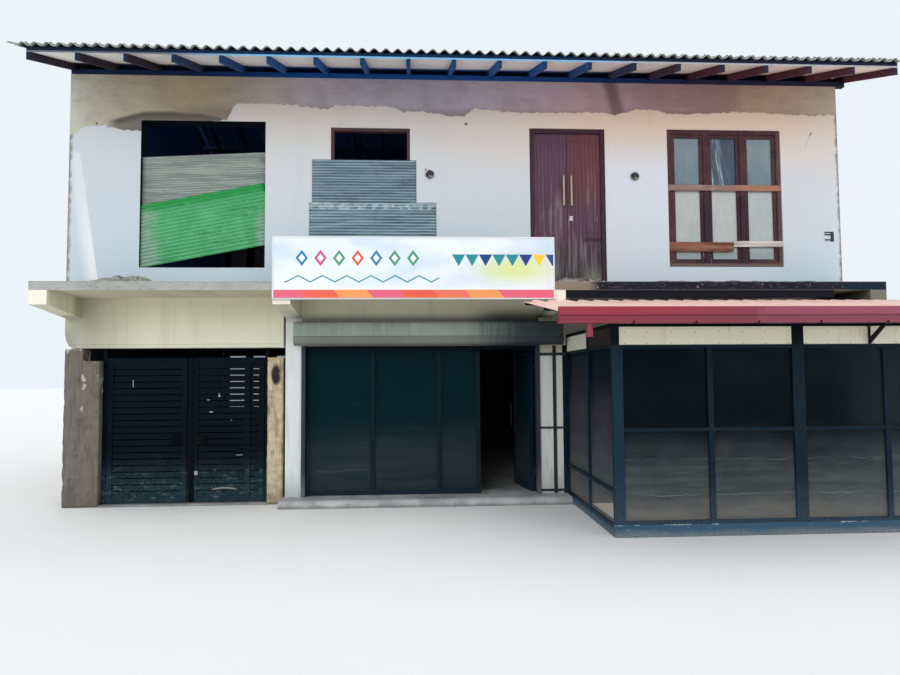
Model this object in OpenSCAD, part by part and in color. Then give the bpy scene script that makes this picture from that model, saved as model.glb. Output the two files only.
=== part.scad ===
/* [Building] */
// Width of the building over its side walls
building_w = 10834; // [10600:1:11600]
// Depth of the building from the front wall face to the back wall face
building_d = 6600; // [5800:1:6800]
// Thickness of the brick walls
wall_t = 225; // [200:1:260]
// Height from the ground to the underside of the first floor slab
ground_storey_h = 2795; // [2700:1:2950]
// Thickness of the first floor slab and its canopy
slab_t = 110; // [90:1:150]
// Height of the upper walls above the slab
upper_storey_h = 2980; // [2800:1:3200]
// Height of the shop floor above the ground
floor_h = 90; // [60:1:115]
// Thickness of the thin floor in the gate bay
gate_floor_h = 20; // [10:1:40]
// Depth of the step in front of the shop
step_d = 350; // [280:1:420]

/* [Canopy] */
// Reach of the canopy in front of the wall
canopy_reach = 890; // [780:1:1000]
// Width of each bracket under the canopy
bracket_w = 217; // [180:1:240]
// Height of a bracket at the wall
bracket_h_wall = 275; // [230:1:330]
// Height of a bracket at the canopy edge
bracket_h_front = 175; // [130:1:210]

/* [Gate bay] */
// Width of the rough pillar left of the gate
left_pillar_w = 470; // [420:1:560]
// Clear width between the two gate pillars
gate_bay_w = 2219; // [2000:1:2300]
// Width of the part of the left pillar that carries the lintel
bearing_w = 247; // [200:1:300]
// Gap between the short part of the left pillar and the lintel
left_pillar_gap = 165; // [100:1:220]
// Width of the rough pillar right of the gate
right_pillar_w = 215; // [180:1:260]
// Gap between the pillar right of the gate and the lintel
right_pillar_gap = 130; // [80:1:200]
// Depth of the lintel over the gate bay
gate_lintel_h = 680; // [600:1:735]
// Radius of the worn lower corner of the lintel
lintel_corner_r = 240; // [150:1:300]
// Side of the square steel gate posts
gate_post = 50; // [40:1:60]
// Depth from the wall face to the front of the gate leaves
gate_set_back = 100; // [70:1:130]
// Thickness of the gate leaves
leaf_t = 40; // [30:1:50]
// Share of the gate width that the left leaf takes
left_leaf_share = 0.538; // [0.45:0.002:0.6]
// Gap between the gate leaves and the lintel
leaf_head_gap = 130; // [90:1:200]
// Gap under and around each gate leaf
leaf_gap = 8; // [6:1:12]
// Width of the gate stiles and rails
stile_w = 75; // [55:1:95]
// Spacing of the gate slats
slat_pitch = 84; // [70:1:100]
// Open slit between two gate slats
slat_slit = 12; // [8:1:20]
// Thickness of the gate slats
slat_t = 16; // [10:1:22]
// Width of the recessed strip where the leaves meet
strip_w = 60; // [40:1:70]
// Side of the lock boxes on the gate
lock_box = 120; // [90:1:130]
// Radius of the hinge knuckles
knuckle_r = 12; // [10:1:15]
// Height of half a hinge
knuckle_h = 50; // [35:1:60]
// Radius of the hinge pins
hinge_pin_r = 6; // [4:1:7]
// Length of the tongue that holds a hinge
hinge_tongue = 44; // [30:1:46]

/* [Shopfront] */
// Gap between the rough gate pillar and the white column
column_gap = 30; // [15:1:50]
// Width of the white column left of the shop
left_column_w = 217; // [180:1:250]
// Clear width of the shop between its columns
shop_w = 3272; // [3100:1:3450]
// Width of the white column right of the shop
right_column_w = 186; // [150:1:215]
// Width of the dark bar beside the right column
side_bar_w = 46; // [30:1:52]
// Width of the white strip next to the annex
side_strip_w = 80; // [60:1:100]
// Depth of the lintels over the shop and the annex bay
shop_lintel_h = 665; // [600:1:715]
// Depth from the wall face to the shopfront
shopfront_set_back = 70; // [55:1:100]
// Thickness of the shopfront frame
shopfront_t = 60; // [40:1:70]
// Width of the shopfront mullions
mullion_w = 55; // [40:1:70]
// Height of the shopfront rails
shop_rail_h = 55; // [40:1:80]
// Clear width of the shop doorway
shop_door_w = 772; // [720:1:860]
// Width of the first pane beside the left guide
first_pane_w = 880; // [780:1:960]
// Width of the second pane
second_pane_w = 862; // [780:1:960]
// Angle at which the shop door stands open
shop_door_open = 80; // [60:1:85]
// Thickness of the shop door leaf
shop_door_t = 40; // [30:1:45]
// Thickness of all glass
glass_t = 6; // [4:1:8]
// Width of the shutter guides
guide_w = 52; // [40:1:60]
// Depth of the roller shutter box in front of the wall
shutter_box_d = 250; // [200:1:300]
// Height of the roller shutter box
shutter_box_h = 318; // [280:1:350]
// Length by which the shutter box passes the left column edge
shutter_box_lap = 74; // [40:1:90]

/* [Upper openings] */
// Distance from the left end of the wall to the boarded opening
boarded_x = 953; // [850:1:1000]
// Width of the boarded opening
boarded_w = 1688; // [1600:1:1750]
// Height of the sill of the boarded opening above the slab
boarded_sill = 307; // [260:1:350]
// Height of the boarded opening
boarded_h = 2042; // [1950:1:2150]
// Distance from the left end of the wall to the small window
small_window_x = 3539; // [3450:1:3620]
// Width of the small window
small_window_w = 1100; // [1000:1:1200]
// Height of the sill of the small window above the slab
small_window_sill = 790; // [700:1:850]
// Height of the small window
small_window_h = 1490; // [1400:1:1550]
// Distance from the left end of the wall to the upper door
upper_door_x = 6326; // [6200:1:6400]
// Width of the upper door opening
upper_door_w = 1082; // [1000:1:1150]
// Height of the upper door opening above the slab
upper_door_h = 2306; // [2200:1:2400]
// Distance from the left end of the wall to the triple window
triple_window_x = 8310; // [8150:1:8400]
// Width of the triple window
triple_window_w = 1668; // [1550:1:1750]
// Height of the sill of the triple window above the slab
triple_window_sill = 329; // [280:1:380]
// Height of the triple window
triple_window_h = 1986; // [1900:1:2100]
// Width of the timber frame members
frame_w = 62; // [50:1:80]
// Depth of the timber frames in the wall
frame_d = 90; // [70:1:110]
// Depth of the frames behind the wall face
frame_set_back = 20; // [10:1:40]
// Width of the sash stiles
sash_w = 55; // [40:1:75]
// Thickness of the sashes and door leaves
sash_t = 38; // [30:1:45]
// Width of the planks nailed over the triple window
plank_h = 85; // [60:1:110]
// Height of the upper plank above the window sill
upper_plank_z = 1100; // [900:1:1200]
// Height of the lower planks above the window sill
lower_plank_z = 222; // [180:1:260]
// Length of the lower left plank
lower_plank_w = 938; // [800:1:1000]
// Thickness of the planks
plank_t = 20; // [15:1:30]

/* [Wall fittings] */
// Distance from the left end of the wall to the left round box
left_box_x = 4913; // [4850:1:6000]
// Distance from the left end of the wall to the right round box
right_box_x = 7829; // [7600:1:8000]
// Height of the round boxes above the slab
round_box_z = 1625; // [1400:1:1800]
// Radius of the round boxes
round_box_r = 62; // [45:1:75]
// Height of the service bracket above the slab
service_z = 700; // [600:1:900]
// Height of the service bracket
service_h = 140; // [120:1:230]

/* [Loose sheets] */
// Corrugation pitch of the thin sheets
thin_pitch = 68; // [50:1:90]
// Half the depth of the thin corrugation
thin_wave = 7; // [4:1:9]
// Thickness of the thin sheets
thin_t = 3; // [2:1:4]
// Height of the green sheet
green_h = 855; // [750:1:950]
// Tilt of the green sheet
green_tilt = 10.9; // [8:0.1:13]
// Height of the grey sheet
grey_h = 1020; // [900:1:1100]
// Tilt of the grey sheet
grey_tilt = 3; // [1:0.1:5]
// Height of the upper zinc sheet
zinc_upper_h = 596; // [500:1:620]
// Height of the lower zinc sheet
zinc_lower_h = 500; // [440:1:560]

/* [Roof] */
// Slope of the roof in degrees
roof_pitch = 18.5; // [15:0.1:22]
// Reach of the rafter tips in front of the wall
rafter_reach = 1070; // [900:1:1200]
// Reach of the roof sheets in front of the wall
sheet_reach = 1150; // [1120:1:1250]
// Width of the rafters
rafter_w = 50; // [40:1:65]
// Depth of the rafters
rafter_d = 90; // [75:1:120]
// Largest spacing of the rafters
rafter_spacing = 600; // [500:1:750]
// Width of the wall plate
plate_w = 75; // [65:1:110]
// Height of the wall plate
plate_h = 75; // [60:1:100]
// Depth of the notch where a rafter sits on the plate
heel_cut = 20; // [12:1:22]
// Thickness of the eave boards and the battens
eave_board_t = 20; // [15:1:25]
// Spacing of the battens up the slope
batten_spacing = 900; // [700:1:1100]
// Height of the dark battens between the eave boards and the roof sheets
eave_batten_h = 42; // [30:1:55]
// Thickness of the ridge board
ridge_t = 30; // [25:1:45]
// Corrugation pitch of the roof sheets
roof_wave_pitch = 146; // [130:1:177]
// Half the depth of the roof corrugation
roof_wave = 22; // [18:1:26]
// Thickness of the roof sheets
roof_sheet_t = 6; // [5:1:8]
// Reach of the sheets beyond each side wall
roof_side_reach = 180; // [160:1:220]
// Reach of the roof timbers beyond the right side wall
timber_reach = 143; // [110:1:150]
// Length of each wing of the ridge cap
ridge_wing = 230; // [180:1:280]

/* [Annex] */
// Distance from the right column strip to the annex frame
annex_gap = 52; // [40:1:65]
// Depth of the annex in front of the wall
annex_d = 2200; // [2050:1:2300]
// Height of the coloured base plate
base_plate_h = 128; // [110:1:185]
// Height of the middle of the glazing bar across the front
transom_h = 1127; // [1000:1:1200]
// Height of the middle of the glazing bar across the sides
side_rail_h = 480; // [430:1:540]
// Depth of the beam between the fascia and the roof arms
front_beam_h = 84; // [60:1:110]
// Height of the fascia boards
fascia_h = 254; // [220:1:280]
// Width of the annex corner posts
corner_post_w = 80; // [65:1:95]
// Width of the strip that widens the left corner post
corner_strip_w = 34; // [25:1:60]
// Share of the glazed width that the first pane of the annex front takes
annex_first_pane = 0.2575; // [0.2:0.0005:0.3]
// Share of the glazed width that each pane beside the middle post takes
annex_pane = 0.2475; // [0.2:0.0005:0.27]
// Width of the annex mullions
annex_mullion_w = 58; // [45:1:90]
// Width of the middle post of the annex
middle_post_w = 133; // [110:1:180]
// Width of the glazing bars
bar_h = 40; // [30:1:50]
// Thickness of the annex frame
annex_frame_t = 60; // [50:1:75]
// Thickness of the fascia boards
fascia_t = 12; // [9:1:16]
// Length of the fascia boards beside the middle post
board_w = 684; // [500:1:900]
// Distance from the last mullion's middle back to the strut under the roof
strut_offset = 178; // [120:1:300]
// Gap between the ledger's end and the right canopy bracket
ledger_short = 484; // [300:1:700]
// Depth of the ledger under the canopy edge
ledger_h = 95; // [70:1:105]
// Reach of the roof sheets in front of the annex
annex_eave_reach = 750; // [650:1:820]
// Reach of the annex roof beyond its left side
annex_side_reach = 740; // [600:1:780]
// Reach of the annex roof beyond the right side wall
annex_right_reach = 80; // [50:1:120]
// Slope of the annex roof in degrees
annex_pitch = 8.49; // [7.8:0.01:9]
// Height of the back edge of the annex roof under the slab
annex_roof_drop = 125; // [100:1:135]
// Pitch of the ribs in the annex roof
rib_pitch = 190; // [160:1:220]
// Height of the ribs
rib_h = 25; // [18:1:30]
// Thickness of the annex roof sheet
ribbed_t = 2; // [2:1:3]
// Depth of the annex purlins
purlin = 40; // [35:1:45]
// Depth of the annex roof arms
arm = 50; // [40:1:55]
// Height of the gutter
gutter_h = 160; // [140:1:180]
// Width of the gutter
gutter_d = 120; // [100:1:130]
// Thickness of the gutter sheet
gutter_t = 4; // [3:1:6]
// Radius of the gutter outlet
outlet_r = 35; // [28:1:45]

/* [Sign] */
// Width of the sign board
sign_w = 3530; // [3300:1:3600]
// Height of the sign board
sign_h = 790; // [700:1:850]
// Thickness of the sign board
sign_t = 40; // [30:1:50]
// Gap between the sign and the annex roof under it
sign_gap = 3; // [2:1:6]

/* [Hidden] */
$fn = 32;

plaster = "ivory";
cement = "rosybrown";
dark_wood = "saddlebrown";
dark_steel = "darkslategray";
pale_metal = "lightslategray";

left_x = -building_w / 2;
right_x = building_w / 2;
slab_top = ground_storey_h + slab_t;
gate_head_h = ground_storey_h - gate_lintel_h;
shop_head_h = ground_storey_h - shop_lintel_h;
wall_top = slab_top + upper_storey_h;
eps = 1;
// Gap between pieces that lie on each other, such as the bars of one frame or a pane in its rebate
seat = 0.3;

// The bays follow each other from the left end of the building
gate_x0 = left_x + left_pillar_w;
gate_x1 = gate_x0 + gate_bay_w;
pillar_x1 = gate_x1 + right_pillar_w;
column_x0 = pillar_x1 + column_gap;
shop_x0 = column_x0 + left_column_w;
shop_x1 = shop_x0 + shop_w;
right_column_x1 = shop_x1 + right_column_w;
strip_x0 = right_column_x1 + side_bar_w + 12;
strip_x1 = strip_x0 + side_strip_w;
annex_x0 = strip_x1 + annex_gap;
annex_x1 = right_x;
inner_left = left_x + wall_t;
inner_right = right_x - wall_t;

// Openings of the upper front wall as [left, width, sill height, height]
upper_openings = [
    [left_x + boarded_x, boarded_w, boarded_sill, boarded_h],
    [left_x + small_window_x, small_window_w, small_window_sill, small_window_h],
    [left_x + upper_door_x, upper_door_w, 0, upper_door_h],
    [left_x + triple_window_x, triple_window_w, triple_window_sill, triple_window_h]
];

// The back wall repeats the triple window: two above and two below
back_window_h = 1400;
back_sill = 900;
back_window_side = 100;
back_window_x = [inner_left + back_window_side, inner_right - back_window_side - triple_window_w];
back_windows = [for (x = back_window_x, storey = [0, slab_top]) [x, storey + back_sill]];

function tan_roof() = tan(roof_pitch);
plate_set = 5;
plate_top = wall_top + plate_h;
function rafter_low(y) = plate_top - heel_cut + y * tan_roof();
rafter_rise = rafter_d / cos(roof_pitch);
function rafter_high(y) = rafter_low(y) + rafter_rise;
board_rise = eave_board_t / cos(roof_pitch);
batten_rise = eave_batten_h / cos(roof_pitch);
function board_top(y) = rafter_high(y) + board_rise;
function sheet_low(y) = board_top(y) + batten_rise;
ridge_y = building_d / 2;
ridge_seat_z = rafter_low(ridge_y - ridge_t / 2);
// Right end of the plates, ridge board, battens and eave boards
timber_x1 = right_x + timber_reach;
sheet_depth = 2 * roof_wave + roof_sheet_t;

// Solid box between two corners
module box(a, b) {
    translate(a) cube(b - a);
}

// Side profile drawn as [depth, height], stretched from x0 to x1
module along_x(x0, x1) {
    translate([x0, 0, 0]) rotate([90, 0, 90]) linear_extrude(x1 - x0) children();
}

// Front profile drawn as [width, height], stretched from y0 to y1
module through_y(y0, y1) {
    translate([0, y1, 0]) rotate([90, 0, 0]) linear_extrude(y1 - y0) children();
}

// The same piece on the front half and mirrored to the back half
module front_and_back() {
    children();
    translate([0, building_d, 0]) mirror([0, 1, 0]) children();
}

// One corrugated sheet profile: waves run across the width w, six points to a wave
module wave_profile(w, pitch, a, t) {
    waves = round(w / pitch);
    step = w / waves / 6;
    low = [for (i = [0 : waves * 6]) [i * step, a + a * sin(60 * i + 30)]];
    high = [for (i = [waves * 6 : -1 : 0]) [i * step, a + a * sin(60 * i + 30) + t]];
    polygon(concat(low, high));
}

module ground_floor() {
    color("darkgray") {
        box([inner_left, wall_t, 0], [pillar_x1, building_d - wall_t, gate_floor_h]);
        box([gate_x0, 0, 0], [gate_x1, wall_t + eps, gate_floor_h]);
        box([pillar_x1, wall_t, 0], [inner_right, building_d - wall_t, floor_h]);
        box([pillar_x1, 0, 0], [inner_right, wall_t + eps, floor_h]);
        box([annex_x0 + annex_frame_t, annex_frame_t - annex_d, 0], [annex_x1 - annex_frame_t, 0, floor_h]);
    }
}

module front_step() {
    color("gainsboro")
        along_x(pillar_x1, annex_x0 - 8)
            polygon([
                [0, 0], [-step_d, 0], [-step_d + 40, floor_h * 0.8], [-step_d + 70, floor_h], [0, floor_h]
            ]);
}

// Gable outline of a side wall above the slab
module gable_profile(y0, y1) {
    polygon([
        [y0, slab_top], [y1, slab_top], [y1, rafter_low(building_d - y1)],
        [ridge_y + ridge_t / 2, ridge_seat_z], [ridge_y - ridge_t / 2, ridge_seat_z], [y0, rafter_low(y0)]
    ]);
}

// Top of a gable between the wall plate and the ridge board, built up beside the rafters to the battens
module gable_fill(x0, x1) {
    y0 = plate_set + plate_w + seat;
    y1 = ridge_y - ridge_t / 2 - seat;
    front_and_back()
        along_x(x0, x1)
            polygon([
                [y0, wall_top], [y1, wall_top], [y1, rafter_high(y1) - seat], [y0, rafter_high(y0) - seat]
            ]);
}

module left_side_wall() {
    color(cement) {
        box([left_x, wall_t, 0], [inner_left, building_d, ground_storey_h]);
        along_x(left_x, inner_left) gable_profile(wall_t, building_d - wall_t);
        gable_fill(left_x + rafter_w + seat, inner_left);
    }
}

module right_side_wall() {
    color(cement) {
        box([inner_right, 0, 0], [right_x, building_d, ground_storey_h]);
        along_x(inner_right, right_x) gable_profile(wall_t, building_d - wall_t);
        gable_fill(inner_right, right_x);
    }
}

module back_wall() {
    y0 = building_d - wall_t;
    color(cement) difference() {
        union() {
            box([inner_left, y0, 0], [inner_right, building_d, ground_storey_h]);
            box([left_x, y0, slab_top], [right_x, building_d, wall_top]);
        }
        for (w = back_windows)
            box([w[0], y0 - eps, w[1]], [w[0] + triple_window_w, building_d + eps, w[1] + back_window_h]);
    }
}

module upper_front_wall() {
    color(plaster) difference() {
        box([left_x, 0, slab_top], [right_x, wall_t, wall_top]);
        for (o = upper_openings)
            box([o[0], -eps, slab_top + o[2] - (o[2] == 0 ? eps : 0)],
                [o[0] + o[1], wall_t + eps, slab_top + o[2] + o[3]]);
    }
}

module first_floor_slab() {
    color("silver") box([left_x, -canopy_reach, ground_storey_h], [right_x, building_d, slab_top]);
}

module canopy_brackets() {
    lefts = [
        left_x, column_x0 + left_column_w - bracket_w, right_column_x1 - bracket_w, right_x - bracket_w
    ];
    color("wheat")
        for (x = lefts)
            along_x(x, x + bracket_w)
                polygon([
                    [0, ground_storey_h], [0, ground_storey_h - bracket_h_wall],
                    [-canopy_reach, ground_storey_h - bracket_h_front], [-canopy_reach, ground_storey_h]
                ]);
}

module gate_lintel() {
    r = lintel_corner_r;
    color("wheat")
        through_y(0, wall_t) difference() {
            polygon([
                [left_x, ground_storey_h], [left_x, gate_head_h],
                [pillar_x1, gate_head_h], [pillar_x1, ground_storey_h]
            ]);
            difference() {
                translate([left_x - eps, gate_head_h - eps]) square([r / 2 + eps, r + eps]);
                translate([left_x + r / 2, gate_head_h + r]) scale([0.5, 1]) circle(r, $fn = 64);
            }
        }
}

module shop_lintels() {
    color("wheat") {
        box([shop_x0, 0, shop_head_h], [shop_x1, wall_t, ground_storey_h]);
        box([right_column_x1, 0, shop_head_h], [inner_right, wall_t, ground_storey_h]);
    }
}

module gate_pillars() {
    color("tan") through_y(0, wall_t) {
        polygon([
            [left_x, 0], [gate_x0, 0], [gate_x0, gate_head_h - left_pillar_gap],
            [left_x + bearing_w, gate_head_h - left_pillar_gap], [left_x + bearing_w, gate_head_h],
            [left_x, gate_head_h]
        ]);
        translate([gate_x1, 0]) square([right_pillar_w, gate_head_h - right_pillar_gap]);
    }
}

module shop_columns() {
    color("white") {
        box([column_x0, 0, floor_h], [shop_x0, wall_t, ground_storey_h]);
        box([shop_x1, 0, floor_h], [right_column_x1, wall_t, ground_storey_h]);
        box([strip_x0, 0, floor_h], [strip_x1, wall_t, shop_head_h]);
    }
}

module wall_plates() {
    color(dark_wood)
        front_and_back() box([left_x, plate_set, wall_top], [timber_x1, plate_set + plate_w, plate_top]);
}

// Left sides of the rafters, from the outer face of the left wall to the right end of the timbers
rafter_run = timber_x1 - rafter_w - left_x;
rafter_gaps = ceil(rafter_run / rafter_spacing);
rafter_places = [for (i = [0 : rafter_gaps]) left_x + i * rafter_run / rafter_gaps];

module rafters() {
    heel_y = heel_cut / tan_roof();
    end_y = ridge_y - ridge_t / 2 - seat;
    color(dark_wood)
        front_and_back()
            for (x = rafter_places)
                along_x(x, x + rafter_w)
                    polygon([
                        [-rafter_reach, rafter_low(-rafter_reach)], [plate_set, rafter_low(plate_set)],
                        [plate_set, plate_top], [heel_y, plate_top], [end_y, rafter_low(end_y)],
                        [end_y, rafter_high(end_y)], [-rafter_reach, rafter_high(-rafter_reach)]
                    ]);
}

module ridge_and_battens() {
    batten_w = 50;
    first = plate_set + plate_w + 500;
    last = ridge_y - batten_w - 120;
    count = floor((last - first) / batten_spacing);
    eave_y = -rafter_reach;
    color("peru") {
        box([left_x, ridge_y - ridge_t / 2, ridge_seat_z],
            [timber_x1, ridge_y + ridge_t / 2, rafter_high(ridge_y - ridge_t / 2)]);
        front_and_back()
            along_x(left_x, timber_x1)
                polygon([
                    [eave_y, board_top(eave_y) + seat],
                    [eave_y + batten_w, board_top(eave_y + batten_w) + seat],
                    [eave_y + batten_w, sheet_low(eave_y + batten_w) - seat],
                    [eave_y, sheet_low(eave_y) - seat]
                ]);
        front_and_back()
            for (i = [0 : count]) {
                y = i == count ? last : first + i * batten_spacing;
                along_x(left_x, timber_x1)
                    polygon([
                        [y, rafter_high(y)], [y + batten_w, rafter_high(y + batten_w)],
                        [y + batten_w, sheet_low(y + batten_w)], [y, sheet_low(y)]
                    ]);
            }
    }
}

module eave_boards() {
    y0 = -rafter_reach;
    y1 = plate_set + plate_w + 60;
    color("linen")
        front_and_back()
            along_x(left_x, timber_x1)
                polygon([
                    [y0, rafter_high(y0)], [y1, rafter_high(y1)], [y1, board_top(y1)], [y0, board_top(y0)]
                ]);
}

// Corrugated sheet of one roof slope, laid on the boards and battens
module roof_slope_sheet() {
    run = ridge_y - 20 + sheet_reach;
    w = building_w + 2 * roof_side_reach;
    translate([-w / 2, -sheet_reach, sheet_low(-sheet_reach)]) rotate([roof_pitch, 0, 0])
        translate([0, run / cos(roof_pitch), 0]) rotate([90, 0, 0])
            linear_extrude(run / cos(roof_pitch)) wave_profile(w, roof_wave_pitch, roof_wave, roof_sheet_t);
}

module front_roof_sheets() {
    color("gray") roof_slope_sheet();
}

module back_roof_sheets() {
    color("gray") translate([0, building_d, 0]) mirror([0, 1, 0]) roof_slope_sheet();
}

// Two wings that meet at the ridge and lie on the wave crests
module ridge_cap() {
    cap_t = 8;
    wing_y = ridge_wing * cos(roof_pitch);
    top = sheet_low(ridge_y) + sheet_depth / cos(roof_pitch);
    edge = top - wing_y * tan_roof();
    w = building_w + 2 * roof_side_reach;
    color("dimgray")
        front_and_back()
            along_x(-w / 2, w / 2)
                polygon([
                    [ridge_y - wing_y, edge], [ridge_y - seat / 2, top],
                    [ridge_y - seat / 2, top + cap_t], [ridge_y - wing_y, edge + cap_t]
                ]);
}

// Thin corrugated sheet whose waves run across its height, clear of the wall behind it
module thin_sheet(w, h, pitch) {
    rotate([0, 0, 90]) rotate([90, 0, 0]) linear_extrude(w)
        rotate(90) mirror([0, 1, 0]) wave_profile(h, pitch, thin_wave, thin_t);
}

// Depth of the loose sheets behind the wall face
green_y = 35;
grey_y = green_y + 2 * thin_wave + thin_t + 12;

module grey_sheet() {
    o = upper_openings[0];
    sill = slab_top + o[2];
    color("darkgray") intersection() {
        translate([o[0] - 60, grey_y, sill + 525]) rotate([0, -grey_tilt, 0])
            thin_sheet(o[1] + 200, grey_h, thin_pitch * 0.6);
        box([o[0], 0, sill], [o[0] + o[1], wall_t, sill + o[3]]);
    }
}

module green_sheet() {
    o = upper_openings[0];
    sill = slab_top + o[2];
    color("mediumseagreen") intersection() {
        translate([o[0] - 30, green_y, sill - 8]) rotate([0, -green_tilt, 0])
            thin_sheet(o[1] + 200, green_h, thin_pitch);
        box([o[0], 0, sill], [o[0] + o[1], wall_t, sill + o[3]]);
    }
}

// Two short sheets nailed on the wall face over the small window
module zinc_sheets() {
    o = upper_openings[1];
    depth = 2 * thin_wave + thin_t;
    lower_z = slab_top + small_window_sill - 65;
    color("slategray") {
        translate([o[0] - 256, -depth, lower_z + zinc_lower_h + 2])
            thin_sheet(o[1] + 341, zinc_upper_h, thin_pitch * 0.72);
        translate([o[0] - 294, -depth, lower_z]) thin_sheet(o[1] + 656, zinc_lower_h, thin_pitch * 0.72);
    }
}

// Rectangular frame drawn in the front view, w by h, with members of width m
module frame_outline(w, h, m) {
    difference() {
        square([w, h]);
        translate([m, m]) square([w - 2 * m, h - 2 * m]);
    }
}

module upper_door_frame() {
    o = upper_openings[2];
    color(dark_wood)
        translate([o[0], 0, slab_top]) through_y(frame_set_back, frame_set_back + frame_d)
            difference() {
                square([o[1], o[3]]);
                translate([frame_w, -eps]) square([o[1] - 2 * frame_w, o[3] - frame_w + eps]);
            }
}

// Depth of the door boards behind the faces of the rails
board_sink = 3;

// One leaf of the upper door: flat boards, a little behind the faces of the bottom and the top rail
module upper_door_leaf(w, h) {
    bottom_rail = 117;
    top_rail = 91;
    difference() {
        cube([w, sash_t, h]);
        translate([-eps, -eps, bottom_rail])
            cube([w + 2 * eps, board_sink + eps, h - bottom_rail - top_rail]);
    }
}

module upper_door_leaves() {
    o = upper_openings[2];
    meeting_gap = 4;
    w = (o[1] - 2 * frame_w - meeting_gap) / 2;
    h = o[3] - frame_w;
    y = frame_set_back + 30;
    color("maroon") {
        translate([o[0] + frame_w, y, slab_top]) upper_door_leaf(w, h);
        translate([o[0] + frame_w + w + meeting_gap, y, slab_top]) upper_door_leaf(w, h);
    }
}

module upper_door_pulls() {
    o = upper_openings[2];
    mid = o[0] + o[1] / 2;
    y = frame_set_back + 30 + board_sink;
    z0 = slab_top + upper_door_h * 0.52;
    z1 = z0 + 430;
    color("goldenrod") {
        for (dx = [-55, 55]) {
            translate([mid + dx, y - 40, z0]) cylinder(r = 15, h = z1 - z0);
            for (z = [z0 + 40, z1 - 40])
                translate([mid + dx, y, z]) rotate([90, 0, 0]) cylinder(r = 9, h = 40);
        }
        box([mid + 25, y - 8, z0 - 205], [mid + 75, y, z0 - 140]);
    }
}

// Triple casement: outer frame, two mullions and three sashes, fused as one joinery piece
module triple_casement(w, h) {
    pitch = (w - frame_w) / 3;
    through_y(0, frame_d) {
        frame_outline(w, h, frame_w);
        for (i = [1, 2]) translate([i * pitch, 0]) square([frame_w, h]);
    }
    through_y(15, 15 + sash_t)
        for (i = [0 : 2]) translate([frame_w + i * pitch, frame_w])
            frame_outline(pitch - frame_w, h - 2 * frame_w, sash_w);
}

module window_frames() {
    t = upper_openings[3];
    s = upper_openings[1];
    small_frame_w = 42;
    color(dark_wood) {
        translate([t[0], frame_set_back, slab_top + t[2]]) triple_casement(t[1], t[3]);
        translate([s[0], frame_set_back, slab_top + s[2]]) through_y(0, frame_d)
            frame_outline(s[1], s[3], small_frame_w);
        for (w = back_windows)
            translate([w[0] + triple_window_w, building_d - frame_set_back, w[1]]) rotate([0, 0, 180])
                triple_casement(triple_window_w, back_window_h);
    }
}

// Panes of a triple casement, held in the sashes
module triple_panes(w, h) {
    pitch = (w - frame_w) / 3;
    edge = frame_w + sash_w;
    for (i = [0 : 2])
        translate([edge + i * pitch + seat, 15 + sash_t / 2 - glass_t / 2, edge + seat])
            cube([pitch - frame_w - 2 * sash_w - 2 * seat, glass_t, h - 2 * edge - 2 * seat]);
}

module window_glass() {
    t = upper_openings[3];
    color("lightblue", 0.5) {
        translate([t[0], frame_set_back, slab_top + t[2]]) triple_panes(t[1], t[3]);
        for (w = back_windows)
            translate([w[0] + triple_window_w, building_d - frame_set_back, w[1]]) rotate([0, 0, 180])
                triple_panes(triple_window_w, back_window_h);
    }
}

module window_planks() {
    t = upper_openings[3];
    z = slab_top + t[2];
    y0 = frame_set_back - plank_t;
    wide_plank_h = plank_h * 1.6;
    step_up = wide_plank_h / 2;
    color("chocolate") {
        translate([t[0], y0, z + upper_plank_z]) cube([t[1], plank_t, plank_h]);
        translate([t[0], y0, z + lower_plank_z]) cube([lower_plank_w, plank_t, wide_plank_h]);
        translate([t[0] + lower_plank_w + 5, y0, z + lower_plank_z + step_up])
            cube([t[1] - lower_plank_w - 5, plank_t, plank_h]);
    }
}

// Two round wall boxes, the bar beside the right column with the straps that tie it to the annex corner,
// and the bracket with three prongs at the right end
module wall_fittings() {
    prong_t = 14;
    bracket_half = 65;
    // Middle height and height of each strap
    straps = [[2007, 40], [988, 28], [135, 30]];
    color("dimgray") {
        for (x = [left_box_x, right_box_x])
            translate([left_x + x, 0, slab_top + round_box_z]) rotate([90, 0, 0]) {
                cylinder(r = round_box_r, h = 22);
                translate([0, 0, 22]) cylinder(r = round_box_r * 0.6, h = 25);
            }
        box([right_column_x1 + 6, 40, floor_h], [right_column_x1 + 6 + side_bar_w, 90, shop_head_h]);
        for (s = straps) box([shop_x1 + seat, -12, s[0] - s[1] / 2], [annex_x0 - seat, 0, s[0] + s[1] / 2]);
        translate([right_x - 178, 0, slab_top + service_z]) {
            box([bracket_half - 38, -14, 0], [bracket_half, 0, service_h]);
            for (z = [17, service_h * 0.66, service_h - prong_t])
                box([-bracket_half, -14, z], [bracket_half - 30, 0, z + prong_t]);
        }
    }
}

// Swing axes of the gate leaves, on the inner face of the posts
hinge_gap = leaf_gap / 2;
leaf_y1 = gate_set_back + leaf_t;
left_hinge = [gate_x0 + gate_post + hinge_gap, leaf_y1 + knuckle_r];
right_hinge = [gate_x1 - gate_post - hinge_gap, leaf_y1 + knuckle_r];
leaf_z0 = gate_floor_h + leaf_gap;
leaf_h = gate_head_h - leaf_head_gap - leaf_z0;
leaves_w = right_hinge[0] - left_hinge[0] - leaf_gap;
left_leaf_w = leaves_w * left_leaf_share - leaf_gap;
right_leaf_w = leaves_w - left_leaf_w - leaf_gap;
hinge_heights = [leaf_z0 + 220, leaf_z0 + leaf_h / 2, leaf_z0 + leaf_h - 220];
pin_play = 0.5;

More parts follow.
